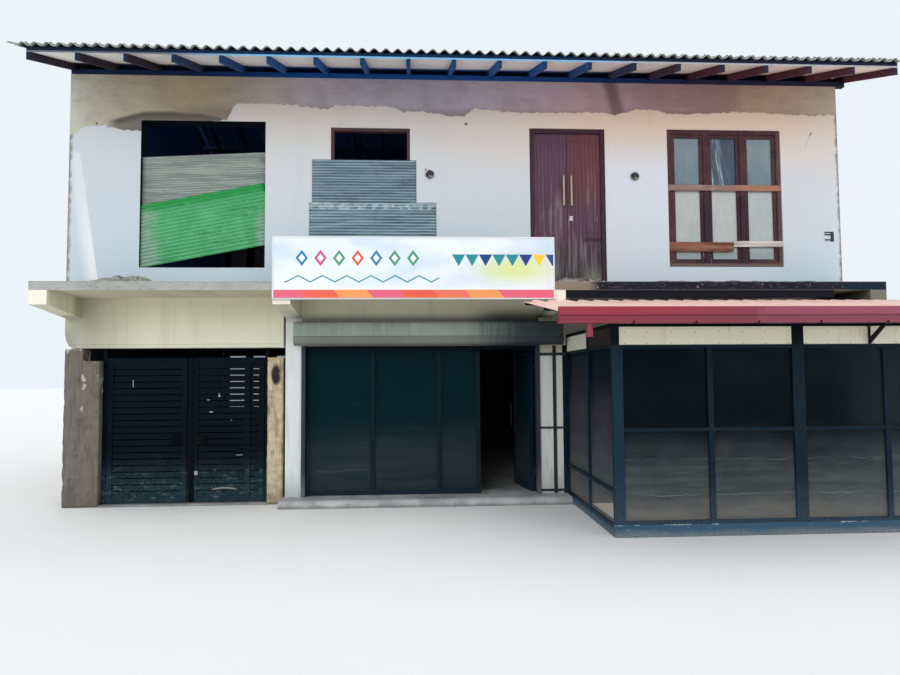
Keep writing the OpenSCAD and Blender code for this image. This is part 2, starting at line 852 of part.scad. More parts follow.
module gate_posts() {
    color(dark_steel) {
        box([gate_x0, gate_set_back, gate_floor_h], [gate_x0 + gate_post, leaf_y1, gate_head_h]);
        box([gate_x1 - gate_post, gate_set_back, gate_floor_h], [gate_x1, leaf_y1, gate_head_h]);
        for (z = hinge_heights) {
            lower_knuckle(left_hinge, z, -1);
            lower_knuckle(right_hinge, z, 1);
        }
    }
}

// Knuckle of a hinge with its tongue, which reaches in the direction of side along X
module knuckle(side) {
    cylinder(r = knuckle_r, h = knuckle_h);
    translate([side > 0 ? 0 : -hinge_tongue, -knuckle_r - eps, 0])
        cube([hinge_tongue, knuckle_r + eps, knuckle_h]);
}

// Half of a hinge that stays with the post: knuckle and pin
module lower_knuckle(at, z, side) {
    translate([at[0], at[1], z - knuckle_h]) {
        knuckle(side);
        cylinder(r = hinge_pin_r, h = knuckle_h * 1.8);
    }
}

// Half of a hinge that turns with the leaf, bored for the pin
module upper_knuckle(at, z, side) {
    translate([at[0], at[1], z + 1]) difference() {
        knuckle(side);
        translate([0, 0, -eps]) cylinder(r = hinge_pin_r + pin_play, h = knuckle_h + 2 * eps);
    }
}

// Slatted steel leaf, drawn from its hinge edge: frame, flat slats with slits, and a lock box
module gate_leaf(w, mid_stile, strip) {
    inner_h = leaf_h - 2 * stile_w;
    slats = floor((inner_h + slat_slit) / slat_pitch);
    pitch = (inner_h + slat_slit) / slats;
    body_w = w - strip;
    through_y(0, leaf_t) {
        frame_outline(body_w, leaf_h, stile_w);
        if (mid_stile > 0) translate([mid_stile, 0]) square([stile_w, leaf_h]);
    }
    through_y(leaf_t / 2 - slat_t / 2, leaf_t / 2 + slat_t / 2)
        for (i = [0 : slats - 1])
            translate([stile_w - eps, stile_w + (i == 0 ? -eps : i * pitch)])
                square([body_w - 2 * stile_w + 2 * eps, pitch - slat_slit + (i == 0 ? eps : 0)]);
    if (strip > 0) box([body_w - eps, leaf_t / 2, 0], [w, leaf_t, leaf_h]);
    box([body_w - stile_w - lock_box, -12, leaf_h * 0.4],
        [body_w - stile_w, leaf_t / 2, leaf_h * 0.4 + lock_box]);
}

module gate_leaf_left() {
    color(dark_steel) {
        translate([left_hinge[0] + hinge_gap, gate_set_back, leaf_z0]) gate_leaf(left_leaf_w, 0, strip_w);
        for (z = hinge_heights) upper_knuckle(left_hinge, z, 1);
    }
}

module gate_leaf_right() {
    color(dark_steel) {
        translate([right_hinge[0] - hinge_gap, gate_set_back, leaf_z0]) mirror([1, 0, 0])
            gate_leaf(right_leaf_w, right_leaf_w * 0.2, 0);
        for (z = hinge_heights) upper_knuckle(right_hinge, z, -1);
    }
}

// Shopfront: sizes of its panes and doorway
shop_y0 = shopfront_set_back;
shop_y1 = shop_y0 + shopfront_t;
mullions = [
    shop_x0 + guide_w + first_pane_w, shop_x0 + guide_w + first_pane_w + mullion_w + second_pane_w,
    shop_x1 - guide_w - shop_door_w - mullion_w
];
shop_rail_z1 = floor_h + shop_rail_h;
shop_rail_top = shop_head_h - shop_rail_h;

module shopfront_frame() {
    color("darkslategray") {
        through_y(shop_y0, shop_y1) {
            translate([shop_x0, floor_h]) square([guide_w, shop_head_h - floor_h]);
            translate([shop_x1 - guide_w, floor_h]) square([guide_w, shop_head_h - floor_h]);
            translate([shop_x0, shop_rail_top]) square([shop_w, shop_rail_h]);
            translate([shop_x0, floor_h]) square([mullions[2] - shop_x0 + mullion_w, shop_rail_h]);
            for (x = mullions) translate([x, floor_h]) square([mullion_w, shop_head_h - floor_h]);
        }
        for (z = door_hinge_heights) lower_knuckle(door_pivot, z, 1);
    }
}

module shopfront_glass() {
    y = (shop_y0 + shop_y1 - glass_t) / 2;
    lefts = [shop_x0 + guide_w, mullions[0] + mullion_w, mullions[1] + mullion_w];
    color("lightblue", 0.4)
        for (i = [0 : 2])
            box([lefts[i] + seat, y, shop_rail_z1 + seat],
                [mullions[i] - seat, y + glass_t, shop_rail_top - seat]);
}

// Swing axis of the shop door, on the inner face of its jamb
door_gap = 6;
door_pivot = [shop_x1 - guide_w - door_gap / 2, shop_y1 + knuckle_r];
door_leaf_w = shop_door_w - 2 * door_gap;
door_leaf_z0 = floor_h + 10;
door_leaf_h = shop_rail_top - door_leaf_z0 - door_gap;
door_hinge_heights = [door_leaf_z0 + 250, door_leaf_z0 + door_leaf_h - 250];
door_stile = 60;
door_rail = 90;

// Things drawn on the closed door are turned to where it stands open
module at_open_door() {
    translate([door_pivot[0], door_pivot[1], 0]) rotate([0, 0, -shop_door_open])
        translate([-door_pivot[0], -door_pivot[1], 0]) children();
}

module shop_door_frame() {
    x1 = door_pivot[0] - door_gap / 2;
    x0 = x1 - door_leaf_w;
    y0 = shop_y1 - shop_door_t;
    color("dimgray") at_open_door() {
        through_y(y0, shop_y1) difference() {
            translate([x0, door_leaf_z0]) square([door_leaf_w, door_leaf_h]);
            translate([x0 + door_stile, door_leaf_z0 + door_rail])
                square([door_leaf_w - 2 * door_stile, door_leaf_h - door_rail - door_stile]);
        }
        for (z = door_hinge_heights) upper_knuckle(door_pivot, z, -1);
        translate([x0 + 30, y0 - 45, door_leaf_z0 + 850]) cylinder(r = 12, h = 350);
        for (z = [door_leaf_z0 + 880, door_leaf_z0 + 1170])
            translate([x0 + 30, y0 + eps, z]) rotate([90, 0, 0]) cylinder(r = 8, h = 46);
    }
}

module shop_door_glass() {
    x1 = door_pivot[0] - door_gap / 2;
    x0 = x1 - door_leaf_w;
    y = shop_y1 - shop_door_t / 2 - glass_t / 2;
    color("lightblue", 0.4) at_open_door()
        box([x0 + door_stile + seat, y, door_leaf_z0 + door_rail + seat],
            [x1 - door_stile - seat, y + glass_t, door_leaf_z0 + door_leaf_h - door_stile - seat]);
}

// Rolled steel shutter: box on the wall face and the two side guides
module roller_shutter() {
    r = 70;
    z0 = shop_head_h;
    z1 = z0 + shutter_box_h;
    d = shutter_box_d;
    color(pale_metal) {
        along_x(shop_x0 - shutter_box_lap, strip_x1 - 30) {
            polygon([
                [0, z0 + 30], [0, z1], [-d + 20, z1], [-d, z1 - 20], [-d, z0 + r + 20], [-d + r, z0 + 30]
            ]);
            translate([-d + r, z0 + r]) circle(r, $fn = 48);
            polygon([[-d + r, z0], [-d + r + 40, z0], [-d + r + 90, z0 + 40], [-d + r, z0 + 60]]);
        }
        for (x = [shop_x0, shop_x1 - guide_w]) {
            box([x, -30, z0 - eps], [x + guide_w, 0, z0 + 30 + eps]);
            difference() {
                box([x, -30, floor_h], [x + guide_w, shop_y0, z0]);
                translate([x == shop_x0 ? x + guide_w / 2 : x - eps, -14, floor_h - eps])
                    cube([guide_w / 2 + eps, 28, z0 - floor_h]);
            }
        }
    }
}

module sign_board() {
    x0 = column_x0;
    z0 = annex_top(annex_back_y) + sign_gap;
    y0 = -canopy_reach - sign_t;
    rim = 18;
    color("aliceblue") difference() {
        box([x0, y0, z0], [x0 + sign_w, -canopy_reach, z0 + sign_h]);
        box([x0 + rim, y0 - eps, z0 + rim], [x0 + sign_w - rim, y0 + 6, z0 + sign_h - rim]);
    }
}

// Sloping planes of the annex roof, by depth in front of the wall
annex_y0 = -annex_d;
annex_y1 = annex_y0 + annex_frame_t;
roof_back_z = ground_storey_h - annex_roof_drop;
function annex_top(y) = roof_back_z + (y + canopy_reach) * tan(annex_pitch);
function annex_under(y) = annex_top(y) - (rib_h + ribbed_t) / cos(annex_pitch);
function purlin_under(y) = annex_under(y) - purlin;
function arm_under(y) = purlin_under(y) - arm;
function arm_top(y) = purlin_under(y) - seat;
annex_front_y = annex_y0 - annex_eave_reach;
annex_back_y = -canopy_reach - 6;
annex_roof_x0 = annex_x0 - annex_side_reach;
annex_roof_x1 = right_x + annex_right_reach;
gutter_y0 = annex_front_y - 70;
gutter_y1 = gutter_y0 + gutter_d;

// The fascia hangs from the beam under the roof arms, and the glass ends under it
fascia_top = arm_under(annex_y0) - front_beam_h;
annex_glass_h = fascia_top - fascia_h;
fascia_z0 = annex_glass_h + bar_h / 2;

// Annex plan: four glazed bays between corner posts, a middle post and two mullions
annex_pane_x = annex_x0 + corner_post_w + corner_strip_w;
annex_clear = annex_x1 - corner_post_w - annex_pane_x - 2 * annex_mullion_w - middle_post_w;
first_mullion_x = annex_pane_x + annex_clear * annex_first_pane;
middle_post_x = first_mullion_x + annex_mullion_w + annex_clear * annex_pane;
last_mullion_x = middle_post_x + middle_post_w + annex_clear * annex_pane;
// Vertical members of the front as [left, width, top]
annex_uprights = [
    [annex_x0, corner_post_w + corner_strip_w, fascia_z0],
    [first_mullion_x, annex_mullion_w, fascia_z0],
    [middle_post_x, middle_post_w, fascia_top],
    [last_mullion_x, annex_mullion_w, fascia_z0],
    [annex_x1 - corner_post_w, corner_post_w, fascia_top]
];
side_mullion_y = annex_y0 * 0.52;
side_plate_h = 86;

module annex_base() {
    color("steelblue") {
        box([annex_x0, annex_y0, 0], [annex_x1, annex_y1, base_plate_h]);
        for (x = [annex_x0, annex_x1 - annex_frame_t])
            box([x, annex_y1, 0], [x + annex_frame_t, 0, side_plate_h]);
    }
}

module annex_frame() {
    color(dark_steel) {
        through_y(annex_y0, annex_y1) {
            for (u = annex_uprights) translate([u[0], base_plate_h]) square([u[1], u[2] - base_plate_h]);
            translate([annex_x0, base_plate_h]) square([corner_post_w, fascia_top - base_plate_h]);
            for (z = [base_plate_h, transom_h - bar_h / 2, annex_glass_h - bar_h / 2, fascia_top - bar_h])
                translate([annex_x0, z]) square([annex_x1 - annex_x0, bar_h]);
        }
        for (x = [annex_x0, annex_x1 - annex_frame_t]) along_x(x, x + annex_frame_t) {
            for (z = [side_plate_h, side_rail_h - bar_h / 2, annex_glass_h - bar_h / 2, fascia_top - bar_h])
                translate([annex_y1, z]) square([-annex_y1, bar_h]);
            translate([side_mullion_y - annex_mullion_w / 2, side_plate_h])
                square([annex_mullion_w, fascia_top - side_plate_h]);
            translate([-annex_mullion_w, side_plate_h]) square([annex_mullion_w, fascia_top - side_plate_h]);
        }
        box([strip_x1 + seat, seat, floor_h + seat], [annex_x0 + 20, annex_frame_t, shop_head_h - seat]);
    }
}

module annex_glass() {
    color("lightblue", 0.35) {
        y = (annex_y0 + annex_y1 - glass_t) / 2;
        for (i = [0 : 3]) {
            x0 = annex_uprights[i][0] + annex_uprights[i][1];
            x1 = annex_uprights[i + 1][0];
            for (z = [[base_plate_h + bar_h, transom_h - bar_h / 2],
                      [transom_h + bar_h / 2, annex_glass_h - bar_h / 2]])
                box([x0 + seat, y, z[0] + seat], [x1 - seat, y + glass_t, z[1] - seat]);
        }
        side_z0 = side_plate_h + bar_h;
        for (side = [annex_x0, annex_x1 - annex_frame_t]) {
            x = side + annex_frame_t / 2 - glass_t / 2;
            for (span = [[annex_y1, side_mullion_y - annex_mullion_w / 2],
                         [side_mullion_y + annex_mullion_w / 2, -annex_mullion_w]])
                for (z = [[side_z0, side_rail_h - bar_h / 2],
                          [side_rail_h + bar_h / 2, annex_glass_h - bar_h / 2]])
                    box([x, span[0] + seat, z[0] + seat], [x + glass_t, span[1] - seat, z[1] - seat]);
        }
    }
}

// Fascia boards: two on each side of the middle post, two on each annex side
module annex_fascia() {
    joint = 3;
    z1 = fascia_top - bar_h;
    y0 = annex_y0 + 4;
    halves = [
        [annex_x0 + corner_post_w, middle_post_x], [middle_post_x + middle_post_w, annex_x1 - corner_post_w]
    ];
    color("beige") {
        for (i = [0, 1]) {
            x0 = halves[i][0];
            x1 = halves[i][1];
            split = i == 0 ? x1 - board_w : x0 + board_w;
            for (part = [[x0, split - joint], [split, x1]])
                box([part[0], y0, fascia_z0], [part[1], y0 + fascia_t, z1]);
        }
        for (x = [annex_x0 + 4, annex_x1 - 4 - fascia_t])
            for (span = [[annex_y1, side_mullion_y - annex_mullion_w / 2],
                         [side_mullion_y + annex_mullion_w / 2, -annex_mullion_w]])
                box([x, span[0], fascia_z0], [x + fascia_t, span[1], z1]);
    }
}

// Bar across the annex roof, laid on the arms and under the sheets
module annex_purlin(y) {
    along_x(annex_roof_x0 + 20, annex_roof_x1 - 20)
        polygon([
            [y, purlin_under(y)], [y + purlin, purlin_under(y + purlin)],
            [y + purlin, annex_under(y + purlin) - seat], [y, annex_under(y) - seat]
        ]);
}

module annex_roof_frame() {
    arm_w = 50;
    strut_t = 12;
    strut_x = last_mullion_x + annex_mullion_w / 2 - strut_offset;
    last_arm = right_x - bracket_w - arm_w / 2 - 30;
    arms = [for (i = [0 : 2]) annex_uprights[i][0] + annex_uprights[i][1] / 2, strut_x, last_arm];
    color("black") {
        for (x = arms)
            along_x(x - arm_w / 2, x + arm_w / 2)
                polygon([
                    [gutter_y1, arm_top(gutter_y1)], [0, arm_top(0)], [0, arm_under(0)],
                    [gutter_y1, arm_under(gutter_y1)]
                ]);
        for (y = [gutter_y1, annex_y0 + 10, annex_back_y - 80]) annex_purlin(y);
        along_x(annex_x0, annex_x1)
            polygon([
                [annex_y0, fascia_top], [annex_y1, fascia_top], [annex_y1, arm_under(annex_y1) - seat],
                [annex_y0, arm_under(annex_y0) - seat]
            ]);
        along_x(strut_x - 12, strut_x + 12)
            polygon([
                [annex_y0 - seat, fascia_z0], [annex_y0 - seat, fascia_top + 40],
                [annex_y0 - strut_t, fascia_top + 40], [annex_y0 - strut_t, fascia_z0]
            ]);
        along_x(strut_x - 12, strut_x + 12)
            polygon([
                [annex_y0 - strut_t - seat, fascia_z0 + 60],
                [annex_y0 - 330, arm_under(annex_y0 - 330) - seat],
                [annex_y0 - 370, arm_under(annex_y0 - 370) - seat], [annex_y0 - strut_t - seat, fascia_z0]
            ]);
        box([right_column_x1, -canopy_reach, ground_storey_h - ledger_h],
            [right_x - bracket_w - ledger_short, 40 - canopy_reach, ground_storey_h]);
    }
}

module annex_roof_sheets() {
    w = annex_roof_x1 - annex_roof_x0;
    ribs = floor(w / rib_pitch);
    p = w / ribs;
    run = (annex_back_y - annex_front_y) / cos(annex_pitch);
    rib = [[0, 0], [p - 90, 0], [p - 65, rib_h], [p - 25, rib_h]];
    low = [for (i = [0 : ribs - 1]) for (q = rib) [i * p + q[0], q[1]]];
    outline = concat(low, [[w, 0], [w, ribbed_t]], [
        for (i = [ribs - 1 : -1 : 0]) for (k = [3 : -1 : 0]) [i * p + rib[k][0], rib[k][1] + ribbed_t]
    ]);
    color("indianred")
        translate([annex_roof_x0, annex_front_y, annex_under(annex_front_y)]) rotate([annex_pitch, 0, 0])
            translate([0, run, 0]) rotate([90, 0, 0]) linear_extrude(run) polygon(outline);
}

module annex_gutter() {
    z1 = annex_top(annex_front_y) + 12;
    z0 = z1 - gutter_h;
    y0 = gutter_y0;
    y1 = gutter_y1;
    t = gutter_t;
    mid = z0 + gutter_h * 0.48;
    back_z = annex_under(annex_front_y) - 5;
    outlet_x = annex_roof_x0 + 300;
    color("crimson") {
        difference() {
            union() {
                along_x(annex_roof_x0, annex_roof_x1) polygon([
                    [y0 + 12, z0], [y1, z0], [y1, back_z], [y1 - t, back_z], [y1 - t, z0 + t],
                    [y0 + 12 + t, z0 + t], [y0 + 12 + t, mid - 6], [y0 + t, mid + 6], [y0 + t, z1 - t],
                    [y0 + 14, z1 - t], [y0 + 14, z1], [y0, z1], [y0, mid], [y0 + 12, mid - 12]
                ]);
                for (x = [annex_roof_x0, annex_roof_x1 - t]) along_x(x, x + t)
                    polygon([
                        [y0 + 12, z0], [y1, z0], [y1, back_z], [annex_front_y - 3, back_z],
                        [annex_front_y - 3, z1], [y0, z1], [y0, mid], [y0 + 12, mid - 12]
                    ]);
            }
            translate([outlet_x, y0 + gutter_d / 2 + 6, z0 - eps])
                cylinder(r = outlet_r - t, h = t + 2 * eps);
        }
        translate([outlet_x, y0 + gutter_d / 2 + 6, z0 - 130]) difference() {
            cylinder(r = outlet_r, h = 130);
            translate([0, 0, -eps]) cylinder(r = outlet_r - t, h = 130 + 2 * eps);
        }
    }
}

ground_floor();
front_step();
left_side_wall();
right_side_wall();
back_wall();
upper_front_wall();
first_floor_slab();
canopy_brackets();
gate_lintel();
shop_lintels();
gate_pillars();
shop_columns();
wall_plates();
rafters();
ridge_and_battens();
eave_boards();
front_roof_sheets();
back_roof_sheets();
ridge_cap();
grey_sheet();
green_sheet();
zinc_sheets();
upper_door_frame();
upper_door_leaves();
upper_door_pulls();
window_frames();
window_glass();
window_planks();
wall_fittings();
gate_posts();
gate_leaf_left();
gate_leaf_right();
shopfront_frame();
shopfront_glass();
shop_door_frame();
shop_door_glass();
roller_shutter();
sign_board();
annex_base();
annex_frame();
annex_glass();
annex_fascia();
annex_roof_frame();
annex_roof_sheets();
annex_gutter();
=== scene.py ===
import math

import bmesh
import bpy
from mathutils import Matrix, Vector, noise


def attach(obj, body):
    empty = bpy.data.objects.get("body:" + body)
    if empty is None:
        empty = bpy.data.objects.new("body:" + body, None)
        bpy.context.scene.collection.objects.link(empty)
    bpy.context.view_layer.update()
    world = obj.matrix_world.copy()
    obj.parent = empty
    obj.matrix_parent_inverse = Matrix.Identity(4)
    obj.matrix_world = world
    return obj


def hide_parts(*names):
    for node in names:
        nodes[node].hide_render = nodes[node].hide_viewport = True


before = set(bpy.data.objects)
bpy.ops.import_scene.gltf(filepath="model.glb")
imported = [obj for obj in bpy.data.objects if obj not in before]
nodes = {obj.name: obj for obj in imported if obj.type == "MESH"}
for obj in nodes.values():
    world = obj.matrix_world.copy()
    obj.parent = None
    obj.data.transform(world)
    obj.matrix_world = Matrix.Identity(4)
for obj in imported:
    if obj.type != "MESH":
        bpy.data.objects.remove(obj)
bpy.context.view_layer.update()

# The camera stands on the pavement across from the shop at eye height, turned a little to the right and
# tipped slightly up. Its turn is made from the yaw, the tip and a small roll to one side.
yaw, tip, roll = -3.11, 93.07, -0.39
turn = (Matrix.Rotation(math.radians(yaw), 4, "Z")
        @ Matrix.Rotation(math.radians(tip), 4, "X")
        @ Matrix.Rotation(math.radians(roll), 4, "Z"))
eye = bpy.data.objects.new("eye", bpy.data.cameras.new("eye"))
eye.data.lens = 27.04
eye.data.sensor_width = 36
eye.data.clip_end = 400
eye.matrix_world = Matrix.Translation((-0.742, -9.334, 1.742)) @ turn
bpy.context.scene.collection.objects.link(eye)
bpy.context.scene.camera = eye
bpy.context.scene.view_settings.view_transform = "Standard"


# Studio: one wide pale floor, a pale surround and soft light. Each material is written as sums on
# sockets, so the small class that carries a socket stands here, with the first thing it paints.
class Wire:
    """A socket of a material. Sums on it add Math nodes, and node() adds any other kind of node."""

    def __init__(self, tree, socket=None):
        self.tree = tree
        self.socket = socket

    def node(self, kind, feeds=None, out=0, stops=(), steps="LINEAR", **settings):
        """Adds a node, sets it and the stops of its ramp, and then feeds its sockets."""
        made = self.tree.nodes.new("ShaderNode" + kind)
        for name, value in settings.items():
            setattr(made, name, value)
        if stops:
            made.color_ramp.interpolation = steps
            while len(made.color_ramp.elements) < len(stops):
                made.color_ramp.elements.new(1.0)
            for stop, (place, colour) in zip(made.color_ramp.elements, stops):
                stop.position = place
                stop.color = colour
        for name, value in (feeds or {}).items():
            if isinstance(value, Wire):
                self.tree.links.new(value.socket, made.inputs[name])
            else:
                made.inputs[name].default_value = value
        return Wire(self.tree, made.outputs[out] if made.outputs else None)

    def also(self, out):
        return Wire(self.tree, self.socket.node.outputs[out])

    def math(self, operation, first, second=0.0):
        return self.node("Math", {0: first, 1: second}, operation=operation)

    def __add__(self, other):
        return self.math("ADD", self, other)

    def __sub__(self, other):
        return self.math("SUBTRACT", self, other)

    def __mul__(self, other):
        return self.math("MULTIPLY", self, other)

    def __truediv__(self, other):
        return self.math("DIVIDE", self, other)

    def __rsub__(self, other):
        return self.math("SUBTRACT", other, self)

    def __rtruediv__(self, other):
        return self.math("DIVIDE", other, self)

    def __abs__(self):
        return self.math("ABSOLUTE", self)

    __radd__ = __add__
    __rmul__ = __mul__


def shade(red, green, blue):
    """A colour as it is seen on a screen, 0 to 255, made ready for a shader."""
    parts = [v / 255 for v in (red, green, blue)]
    return [v / 12.92 if v <= 0.04045 else ((v + 0.055) / 1.055) ** 2.4 for v in parts] + [1.0]


def start(name):
    """A new material, with the point on the object as one vector and as its three parts."""
    made = bpy.data.materials.new(name)
    made.use_nodes = True
    made.node_tree.nodes.clear()
    at = Wire(made.node_tree).node("TexCoord", out=3)
    x = at.node("SeparateXYZ", {0: at})
    return made, at, x, x.also(1), x.also(2)


def cloud(at, scale, detail=4.0, roughness=0.55, stretch=None):
    """Noise around 0.5, with scale waves to a metre. Stretch draws it out along an axis."""
    if stretch:
        at = at.node("Mapping", {"Vector": at, "Scale": stretch})
    return at.node("TexNoise", {"Vector": at, "Scale": scale, "Detail": detail, "Roughness": roughness})


def mix(factor, first, second):
    """The first colour where factor is 0, the second where it is 1, each a wire or three screen values."""
    first, second = (v if isinstance(v, Wire) else shade(*v) for v in (first, second))
    return factor.node("Mix", {0: factor, 6: first, 7: second}, out=2, data_type="RGBA")


def capped(value):
    """The value, but never above 1."""
    return value.math("MINIMUM", value, 1.0)


def close(colour, roughness, height=None, depth=0.002, metallic=0.0, gloss=0.5, alpha=1.0):
    """Ends a material: its colour, how rough and how metallic it is, and its relief in metres."""
    feeds = {"Base Color": colour, "Roughness": roughness, "Metallic": metallic, "Specular IOR Level": gloss,
             "Alpha": alpha}
    if height is not None:
        feeds["Normal"] = colour.node("Bump", {"Height": height, "Distance": depth})
    colour.node("OutputMaterial", {"Surface": colour.node("BsdfPrincipled", feeds)})


def make(name, bm, *paints, smooth=True):
    """Turns a finished bmesh into a piece that carries its paints."""
    mesh = bpy.data.meshes.new(name)
    bm.to_mesh(mesh)
    bm.free()
    for paint in paints:
        mesh.materials.append(paint)
    if smooth:
        mesh.shade_smooth()
    made = bpy.data.objects.new(name, mesh)
    bpy.context.scene.collection.objects.link(made)
    return made


floor_paint, at, x, y, z = start("floor_paint")
close(mix(cloud(at, 0.8, 3), (246, 245, 243), (251, 250, 249)), 0.9, cloud(at, 60, 2), 0.0004, gloss=0.1)
floor_z = -0.004
bm = bmesh.new()
bmesh.ops.create_grid(bm, x_segments=1, y_segments=1, size=90, matrix=Matrix.Translation((0, 0, floor_z)))
floor = make("floor", bm, floor_paint, smooth=False)

surround = bpy.data.worlds.new("surround")
surround.use_nodes = True
surround.node_tree.nodes.clear()
bpy.context.scene.world = surround
path = Wire(surround.node_tree).node("LightPath")
seen = path + path.also(3) + path.also(6)
glow = path.node("Background", {"Color": (0.90, 0.95, 1.0, 1.0), "Strength": 0.70})
pale = path.node("Background", {"Color": shade(236, 243, 250), "Strength": 1.0})
path.node("OutputWorld", {"Surface": path.node("MixShader", {0: capped(seen), 1: glow, 2: pale})})

for name, place, power, spread in (("key", (-8, -16, 9), 1.0, 34), ("fill", (12, -12, 6), 0.5, 50),
                                   ("top", (0.5, -1, 30), 0.7, 60)):
    lamp = bpy.data.objects.new(name, bpy.data.lights.new(name, "SUN"))
    lamp.data.energy = power
    lamp.data.angle = math.radians(spread)
    lamp.rotation_euler = (Vector((0, 0, 2)) - Vector(place)).to_track_quat("-Z", "Y").to_euler()
    bpy.context.scene.collection.objects.link(lamp)


# Upper front wall: brick with a skim of plaster, limewashed by hand up to a ragged line. Above that line
# the bare cement coat shows, tan at the ends and mauve grey in the middle, with damp stains. Its back is
# blue. Painted sunlight brightens a wedge at its lower left, and its reveals are painted dark as shade.
def rise(value, low, high):
    """0 below low, 1 above high, and a smooth climb between them. Low may be the greater."""
    return value.node("MapRange", {0: value, 1: low, 2: high}, interpolation_type="SMOOTHSTEP")


def ramp(factor, *stops, steps="LINEAR"):
    """A colour that runs through stops, each a place with three screen values or with four raw ones."""
    stops = [(place, shade(*colour) if len(colour) == 3 else colour) for place, colour in stops]
    return factor.node("ValToRGB", {0: factor}, stops=stops, steps=steps)


def coats(colour, *layers):
    """Lays coats over a colour one after the other, each a mask and the colour that shows there."""
    for mask, coat in layers:
        colour = mix(mask, colour, coat)
    return colour


def reach(across, up, wide=1.0, tall=1.0):
    """How far a point is from a middle, given its two distances and a weight for each."""
    return across.math("POWER", across * across * wide + up * up * tall, 0.5)


def dress(material, *names):
    """Gives CAD pieces that keep their shape a finish of their own."""
    for name in names:
        for held in nodes[name].material_slots:
            held.material = material


ragged_line = [
    (-5.42, 5.02), (-5.34, 5.06), (-5.23, 5.15), (-4.95, 5.17), (-4.69, 5.11), (-4.47, 5.11),
    (-3.28, 5.28), (-3.24, 5.44), (-3.19, 5.50), (-2.70, 5.51), (-2.36, 5.49), (-1.91, 5.44),
    (-1.82, 5.50), (-1.03, 5.49), (-0.88, 5.42), (-0.60, 5.43), (-0.16, 5.36), (0.02, 5.38),
    (0.10, 5.48), (0.79, 5.43), (1.93, 5.45), (2.16, 5.42), (2.46, 5.50), (2.73, 5.50), (3.02, 5.44),
    (3.66, 5.46), (3.86, 5.49), (4.28, 5.48), (4.78, 5.45), (5.42, 5.46)
]
wall_paint, at, x, y, z = start("limewashed_wall")
half_width, line_foot, wall_foot, wall_tall = 5.417, 5.0, 2.9, 2.6
along = (x + half_width) / (2 * half_width)
edge = ramp(along, *(((u + half_width) / (2 * half_width), [v - line_foot] * 3 + [1.0])
                     for u, v in ragged_line))
chips = cloud(at, 12, 7, 0.72)
bare = rise(z - line_foot - edge + (chips - 0.5) * 0.13, -0.004, 0.006)
broad = cloud(at, 0.7, 3)
fine = cloud(at, 34, 4, 0.6)
drift = cloud(at, 2.3, 5, 0.6)
warm = rise(z + (broad - 0.5) * 0.4, 4.45, 5.45) * rise(x, -0.8, 2.2) * rise(x, 6.2, 4.2)
streak = cloud(at, 3.2, 4, 0.6, (1, 1, 0.08))
# Painted sunlight: a bright wedge at the lower left of the wall, with a sharp right edge, also a little
# glossier.
past_edge = (4.826 - z) * 0.1545 - 5.275 - x
painted_sunlit_wedge = rise(past_edge, 0.0, 0.008) * rise(past_edge, 0.24, 0.04) * rise(z, 4.83, 4.76)
painted_sunlit_wedge = painted_sunlit_wedge * (0.35 + rise(z, 4.4, 3.1) * 0.5)
trowel = cloud(at, 7, 6, 0.75, (0.45, 1, 1.8))
bow = z - 5.34 + (x + 4.05) * (x + 4.05) * 0.2 + (drift - 0.5) * 0.12
smear = rise(bow, 0.07, 0.02) * rise(x, -4.98, -4.76) * rise(x, -3.2, -3.35)
damp = rise(x + (drift - 0.5) * 0.5, -4.15, -3.5) * rise(z + (drift - 0.5) * 0.1, 5.52, 5.38)
wash = coats(
    ramp((z - wall_foot + (broad - 0.5) * 0.5) / wall_tall, (0.0, (195, 213, 222)), (0.3, (202, 213, 221)),
         (0.55, (205, 209, 214)), (0.8, (206, 204, 202)), (1.0, (210, 200, 191))),
    (warm * 0.6, (238, 208, 182)),
    (rise(x, -3.0, -4.5) * 0.5, (188, 202, 211)),
    (rise(x, 1.2, 2.2) * rise(x, 4.8, 3.8) * rise(z, 5.1, 4.5) * 0.6, (217, 222, 232)),
    (rise(streak, 0.56, 0.74) * 0.16, (176, 176, 172)),
    (painted_sunlit_wedge, (238, 240, 240)))
cement = coats(
    ramp(along + (drift - 0.5) * 0.06,
         (0.0, (188, 188, 172)), (0.05, (180, 174, 156)), (0.09, (176, 164, 144)), (0.15, (170, 152, 126)),
         (0.20, (170, 153, 134)), (0.24, (172, 165, 160)), (0.30, (174, 166, 170)),
         (0.45, (168, 163, 174)), (0.56, (184, 166, 176)), (0.68, (184, 156, 162)), (0.74, (166, 139, 143)),
         (0.82, (161, 131, 127)), (0.86, (164, 134, 124)), (0.88, (186, 158, 138)), (1.0, (180, 170, 155))),
    (rise(drift, 0.42, 0.66) * 0.3, (136, 122, 114)),
    (rise(trowel, 0.52, 0.66) * 0.22, (118, 106, 100)),
    (rise(trowel, 0.46, 0.34) * 0.16, (216, 206, 194)),
    (rise(abs(x - 2.08 + (5.87 - z) * -0.25), 0.16, 0.03) * 0.75, (104, 84, 80)),
    (smear * (0.7 + rise(abs(bow), 0.08, 0.0) * 0.25), (86, 84, 76)),
    (damp * 0.55, (106, 100, 88)))
worn = rise(x + (chips - 0.5) * 0.16, -5.36, -5.41) + rise(x + (chips - 0.5) * 0.14, 5.37, 5.41)
worn = worn * (1 - bare) * rise(y, 0.12, 0.02)
side_face = rise(abs(x), 5.4150, 5.4165)
